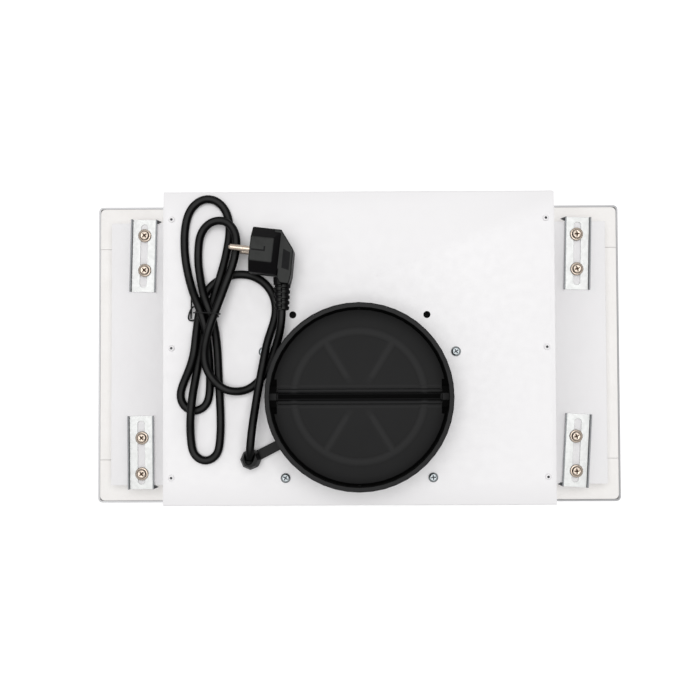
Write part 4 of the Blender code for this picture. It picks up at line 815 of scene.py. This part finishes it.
def smooth_path(route, count):
    """Evenly spaced points on a smooth curve through a route, as the CAD source draws the lead."""
    knots = np.array(route) + np.array(COLLAR_MIDDLE)
    spans = np.sqrt(np.linalg.norm(np.diff(knots, axis=0), axis=1))
    at = np.concatenate(([0], np.cumsum(spans)))
    slopes = np.diff(knots, axis=0) / spans[:, None]
    system = np.eye(len(knots))
    right = np.zeros_like(knots)
    for i in range(1, len(knots) - 1):
        system[i, i - 1:i + 2] = spans[i - 1], 2 * (spans[i - 1] + spans[i]), spans[i]
        right[i] = 6 * (slopes[i] - slopes[i - 1])
    bends = np.linalg.solve(system, right)
    fine = np.linspace(0, at[-1], CURVE_FINENESS * count)
    span = np.clip(np.searchsorted(at, fine, side="right") - 1, 0, len(spans) - 1)
    width = spans[span][:, None]
    before, after = (fine - at[span])[:, None], (at[span + 1] - fine)[:, None]
    curve = (bends[span] * after ** 3 + bends[span + 1] * before ** 3) / (6 * width)
    curve += (knots[span] / width - bends[span] * width / 6) * after
    curve += (knots[span + 1] / width - bends[span + 1] * width / 6) * before
    run = np.concatenate(([0], np.cumsum(np.linalg.norm(np.diff(curve, axis=0), axis=1))))
    even = np.linspace(0, run[-1], count)
    return [Vector(spot) for spot in zip(*(np.interp(even, run, curve[:, i]) for i in range(3)))]


def make_lead(path, look):
    line = bpy.data.curves.new("mains_lead", "CURVE")
    line.dimensions = "3D"
    line.bevel_depth = CORD_DIAMETER / 2
    line.bevel_resolution = CORD_SIDE_STEPS
    line.use_fill_caps = True
    line.materials.append(look)
    spline = line.splines.new("POLY")
    spline.points.add(len(path) - 1)
    for spot, point in zip(spline.points, path):
        spot.co = (*point, 1)
    lead = linked_object("mains_lead", line)
    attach(lead, "hood")
    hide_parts("mains_cord")
    return lead


# Plug

def plug_frame():
    """Where the plug's own axes lie in the hood."""
    x, y = PLUG_FACE_PLACE
    middle = COLLAR_MIDDLE + Vector((x, y, GAP + PLUG_RADIUS))
    return Matrix.Translation(middle) @ Matrix.Rotation(math.radians(PLUG_TURN), 4, "Z")


def rounded_block(rings):
    """A block through rings of corners, with its edges rounded."""
    bm = bmesh.new()
    add_skin(bm, rings)
    bmesh.ops.recalc_face_normals(bm, faces=bm.faces)
    sharp = [edge for edge in bm.edges if edge.calc_face_angle() > math.radians(PLUG_EDGE_ANGLE)]
    bmesh.ops.bevel(bm, geom=sharp, offset=PLUG_EDGE, segments=PLUG_EDGE_SEGMENTS, profile=0.5,
                    affect="EDGES")
    bm.normal_update()
    return bm


def level_faces(bm):
    """The faces that look straight up."""
    return [face for face in bm.faces if face.normal.z > LEVEL_SHARE]


def is_inside(spot, outline):
    """Whether a point is inside an outline that turns left all the way round."""
    for (x, y), (next_x, next_y) in zip(outline, outline[1:] + outline[:1]):
        if (next_x - x) * (spot.y - y) <= (next_y - y) * (spot.x - x):
            return False
    return True


def sink(bm, outlines, depth):
    """Press the level faces inside some outlines down, and give the sunk floor the second finish, a darker
    one that paints the shade in the recess.
    """
    for outline in outlines:
        for one, two in zip(outline, outline[1:] + outline[:1]):
            faces = level_faces(bm)
            cut = {part for face in faces for part in (*face.verts, *face.edges)}
            bmesh.ops.bisect_plane(bm, geom=[*cut, *faces], plane_co=(*one, 0),
                                   plane_no=(two[1] - one[1], one[0] - two[0], 0))
            bm.normal_update()
    patch = [face for face in level_faces(bm)
             if any(is_inside(face.calc_center_median(), outline) for outline in outlines)]
    for face in patch:
        face.material_index = 1
    grown = bmesh.ops.extrude_face_region(bm, geom=patch)["geom"]
    corners = [part for part in grown if isinstance(part, bmesh.types.BMVert)]
    bmesh.ops.translate(bm, verts=corners, vec=(0, 0, -depth))


def add_relief(bm):
    """A tapered sleeve round the lead, with ribs that are staggered from side to side."""
    along = RELIEF_END - RELIEF_START
    placed = Matrix.Translation(RELIEF_START) @ along.to_track_quat("Z", "Y").to_matrix().to_4x4()
    rings = []
    for row in range(RELIEF_ROWS + 1):
        share = row / RELIEF_ROWS
        plain_radius = RELIEF_START_RADIUS + (RELIEF_END_RADIUS - RELIEF_START_RADIUS) * share
        ring = []
        for step in range(ROUND_STEPS):
            angle = 2 * math.pi * (step + 0.5) / ROUND_STEPS
            stagger = 0.5 if math.cos(angle) < 0 else 0.0
            in_groove = (share * RELIEF_RIBS + stagger) % 1 < RELIEF_GROOVE_SHARE
            radius = plain_radius
            if in_groove and share > RELIEF_PLAIN_SHARE:
                radius -= RELIEF_GROOVE
            spot = Vector((math.cos(angle) * radius, math.sin(angle) * radius, along.length * share))
            ring.append(placed @ spot)
        rings.append(ring)
    add_skin(bm, rings)


def make_plug(looks):
    """The eight-sided front with its slit, the flatter grip with its panel, and the strain relief."""
    half = ((PLUG_FLAT, PLUG_RADIUS), (PLUG_RADIUS, PLUG_FLAT), (PLUG_RADIUS, -PLUG_FLAT),
            (PLUG_FLAT, -PLUG_RADIUS))
    front = half + tuple((-y, -z) for y, z in half)
    grip_top = PLUG_GRIP_HEIGHT / 2
    low_side = PLUG_FLAT + PLUG_RADIUS - grip_top
    low = []
    for y, z in front:
        above_grip = abs(z) > grip_top
        low.append((math.copysign(low_side, y), math.copysign(grip_top, z)) if above_grip else (y, z))
    sections = ((0, front), (PLUG_TOP_DEPTH, front), (PLUG_SLOPE_END, low))
    bm = rounded_block([[(x, y, z) for y, z in section] for x, section in sections])
    sink(bm, PLUG_SLIT, PLUG_SLIT_DEPTH)
    grip = rounded_block([[(x, y, level) for x, y in PLUG_GRIP_OUTLINE] for level in (-grip_top, grip_top)])
    sink(grip, [PLUG_PANEL], PLUG_PANEL_DEPTH)
    merge(bm, grip)
    add_relief(bm)
    bm.transform(plug_frame())
    return add_piece("plug_shell", bm, looks, ["plug_body"], sharp=0.0)


# Tie

def tie_loop(path):
    """A tight loop round the strands that run through the tie's plane."""
    turn = math.radians(TIE_TURN)
    along = Vector((math.cos(turn), math.sin(turn), 0))
    ahead = Vector((-math.sin(turn), math.cos(turn), 0))
    middle = Vector((TIE_MIDDLE[0], TIE_MIDDLE[1] + COLLAR_MIDDLE.y, 0))
    strands = []
    for one, two in zip(path, path[1:]):
        before, after = (one - middle).dot(ahead), (two - middle).dot(ahead)
        if before * after > 0:
            continue
        spot = one.lerp(two, before / (before - after)) - middle
        if abs(spot.dot(along)) < TIE_REACH:
            strands.append((spot.dot(along), spot.z))
    offset = CORD_DIAMETER / 2 + TIE_RADIUS + TIE_SLACK
    loop = []
    for step in range(TIE_STEPS):
        angle = 2 * math.pi * step / TIE_STEPS
        out, up = math.cos(angle), math.sin(angle)
        x, z = max(strands, key=lambda strand: strand[0] * out + strand[1] * up)
        height = max(z + offset * up, COLLAR_MIDDLE.z + GAP + TIE_RADIUS)
        loop.append(middle + along * (x + offset * out) + Vector((0, 0, height)))
    return loop


def make_tie(path, look):
    bm = bmesh.new()
    add_tube(bm, tie_loop(path), TIE_RADIUS, cyclic=True)
    for tail in TIE_TAILS:
        add_tube(bm, smooth_path(tail, TIE_STEPS), TIE_TAIL_RADIUS)
    return add_piece("lead_tie", bm, [look], ["cord_tie"], sharp=80.0)


# Screws and rivets

def make_heads(prefix, profile, looks, shank_radius, turns):
    """A modelled head and shank for each CAD screw or rivet whose name starts with a prefix."""
    nodes = sorted(name for name in frame["nodes"] if name.startswith(prefix))
    head_height = max(height for _, height, _ in profile)
    for number, node in enumerate(nodes):
        low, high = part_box(node)
        seat = high.z - head_height
        middle = Vector(((low.x + high.x) / 2, (low.y + high.y) / 2, seat))
        tip = low.z - seat
        shank = ((0, tip, 0), (shank_radius, tip, 0), (shank_radius, 0, 0))
        bm = bmesh.new()
        turn = math.radians(turns[number % len(turns)])
        rows = add_turned(bm, shank + profile, Matrix.Translation(middle), turn)
        # The recess rows get the second, darker finish: painted shade in the recess.
        for row in rows[-RECESS_ROWS:]:
            for face in row:
                face.material_index = 1
        add_piece(f"{node}_detail", bm, looks, [node], frame["nodes"][node]["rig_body"], sharp=50.0)


# Grease filter

def make_filter_screen(look):
    """Diamonds of expanded metal under the filter's layers, in the window of its frame."""
    mesh_low, mesh_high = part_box("filter_mesh")
    frame_low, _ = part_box("filter_frame")
    level = (frame_low.z + mesh_low.z) / 2 + SCREEN_STRAND
    bm = bmesh.new()
    rows = int((mesh_high.y - mesh_low.y) / SCREEN_PITCH)
    steps = int((mesh_high.x - mesh_low.x) / SCREEN_STEP)
    for row in range(rows):
        middle = mesh_low.y + SCREEN_PITCH * (row + 0.5)
        points = []
        for step in range(steps + 1):
            swing = SCREEN_PITCH / 2 * (1 if (step + row) % 2 else -1)
            points.append(Vector((mesh_low.x + SCREEN_STEP * step, middle + swing, level)))
        add_tube(bm, points, SCREEN_STRAND, SCREEN_SIDES)
    add_piece("filter_screen", bm, [look], (), "filter")


# Stage

def make_floor():
    """A pale floor that shows white to the camera and keeps the hood's shadow."""
    bm = bmesh.new()
    bmesh.ops.create_grid(bm, x_segments=1, y_segments=1, size=FLOOR_SIZE / 2,
                          matrix=Matrix.Translation((0, 0, -FLOOR_DROP)))
    mesh = mesh_from(bm, "floor")
    paint = start_material("pale_floor", FLOOR_PALE, roughness=0.9, specular=0.1)
    shader = shader_of(paint)
    shader.inputs["Emission Color"].default_value = WHITE
    glow = reckon(paint, "MULTIPLY", seen_directly(paint), FLOOR_GLOW)
    join(paint, glow, shader.inputs["Emission Strength"])
    mesh.materials.append(paint)
    linked_object("floor", mesh)


def make_sky():
    """Even light from all round, with a white backdrop for what looks at it directly."""
    world = bpy.data.worlds.new("sky")
    bpy.context.scene.world = world
    world.use_nodes = True
    background = world.node_tree.nodes["Background"]
    background.inputs["Color"].default_value = WHITE
    strength = spread(world, seen_directly(world), (0.0, 1.0), (SKY_STRENGTH, 1.0))
    join(world, strength, background.inputs["Strength"])


def make_soft_box():
    lamp = bpy.data.lights.new("soft_box", "AREA")
    lamp.size = BOX_SIZE
    lamp.energy = BOX_POWER
    box = linked_object("soft_box", lamp)
    box.location = BOX_PLACE
    box.rotation_euler = (Vector(BOX_AIM) - Vector(BOX_PLACE)).to_track_quat("-Z", "Y").to_euler()


make_camera()

white = powder_coat("white_powder_coat")
frame_white = powder_coat("frame_powder_coat", shaded_lip=True)
cream = foam()
zinc = zinc_sheet()
nickel = bright_metal("warm_nickel", WARM_NICKEL, smooth=0.24, rough=0.34)
recess_shade_brown = bright_metal("recess_shade_brown", RECESS_SHADE_BROWN, smooth=0.5, rough=0.6)
steel = bright_metal("bright_zinc", BRIGHT_ZINC, smooth=0.24, rough=0.36)
recess_shade_steel = bright_metal("recess_shade_steel", RECESS_SHADE_STEEL, smooth=0.4, rough=0.5)
dark_steel = bright_metal("dark_steel", DARK_STEEL, smooth=0.5, rough=0.6)
aluminium = brushed_aluminium()
black = moulded_plastic("black_plastic", BLACK_DARK, BLACK_LIGHT, roughness=0.42, specular=0.2)
collar_black = collar_plastic()
flap_grey = flap_plastic()
dark_grey = moulded_plastic("dark_grey_plastic", GREY_DARK, GREY_LIGHT, roughness=0.5)
white_plastic = moulded_plastic("white_plastic", SHELL_DARK, SHELL_LIGHT, roughness=0.36, specular=0.5,
                                grain=900.0)
cord_black = black_rubber("cord_sheath", CORD_BLACK, CORD_DUST_AND_HIGHLIGHT, roughness=0.36)
plug_black = black_rubber("plug_rubber", PLUG_BLACK, PLUG_DUST_AND_HIGHLIGHT, roughness=0.44)
# The plug's recesses get a darker rubber: painted shade in them, with a weaker painted highlight where they
# face up.
plug_shade = black_rubber("plug_recess_shade", PLUG_RECESS_BLACK, PLUG_RECESS_DUST_AND_HIGHLIGHT, roughness=0.50)
lens_glass = frosted_lens()

lead_path = smooth_path(CORD_ROUTE, CORD_POINTS)
lead = make_lead(lead_path, cord_black)
plug_shell = make_plug([plug_black, plug_shade])
tie = make_tie(lead_path, black)
pins = [dress("plug_pin_upper", nickel, THIN_EDGE), dress("plug_pin_lower", nickel, THIN_EDGE)]

# CAD nodes that keep their shape, by finish and rounding; the flaps stay as sharp as they are
for look, edge, nodes in (
    (frame_white, SHEET_EDGE, ["bottom_frame"]),
    (white, SHEET_EDGE, ["housing_cover", "side_panel_left", "side_panel_right"]),
    (cream, THIN_EDGE, ["seal_front", "seal_rear", "seal_left", "seal_right"]),
    (collar_black, SHEET_EDGE, ["duct_collar"]),
    (cord_black, BUSHING_EDGE, ["cord_bushing"]),
    (flap_grey, 0.0, ["damper_flap_rear", "damper_flap_front"]),
    (zinc, THIN_EDGE, sorted(name for name in frame["nodes"] if name.startswith("clamp_bracket"))),
    (dark_steel, THIN_EDGE, ["blower_casing"]),
    (steel, THIN_EDGE, ["inlet_ring", "motor_plate", "motor_shaft"]),
    (black, THIN_EDGE, ["impeller"]),
    (aluminium, CASING_EDGE, ["motor", "filter_frame"]),
    (aluminium, BOX_EDGE, ["run_capacitor"]),
    (aluminium, THIN_EDGE, ["filter_mesh"]),
    (dark_grey, BOX_EDGE, ["terminal_box"]),
    (dark_grey, LAMP_EDGE, ["switch_block"]),
    (white_plastic, SHEET_EDGE, ["switch_panel"]),
    (white_plastic, LAMP_EDGE, ["lamp_left", "lamp_right"]),
    (lens_glass, SHEET_EDGE, ["lamp_lens_left", "lamp_lens_right"]),
):
    for node in nodes:
        dress(node, look, edge)
for number in (1, 2, 3, 4):
    dress(f"push_button_{number}", white_plastic, BOX_EDGE, BUTTON_SEGMENTS)

# The screws' recesses get dark painted shade; the rivets' dark steel stands for the mandrel and for the
# shade in its hole.
make_heads("clamp_screw", CLAMP_SCREW_PROFILE, [nickel, recess_shade_brown], CLAMP_SCREW_SHANK,
           CLAMP_SCREW_TURNS)
make_heads("blower_screw", BLOWER_SCREW_PROFILE, [steel, recess_shade_steel], BLOWER_SCREW_SHANK,
           BLOWER_SCREW_TURNS)
make_heads("panel_rivet", RIVET_PROFILE, [white, dark_steel], RIVET_SHANK, RIVET_TURNS)
make_filter_screen(aluminium)

make_floor()
make_sky()
make_soft_box()
bpy.context.scene.view_settings.view_transform = "Standard"
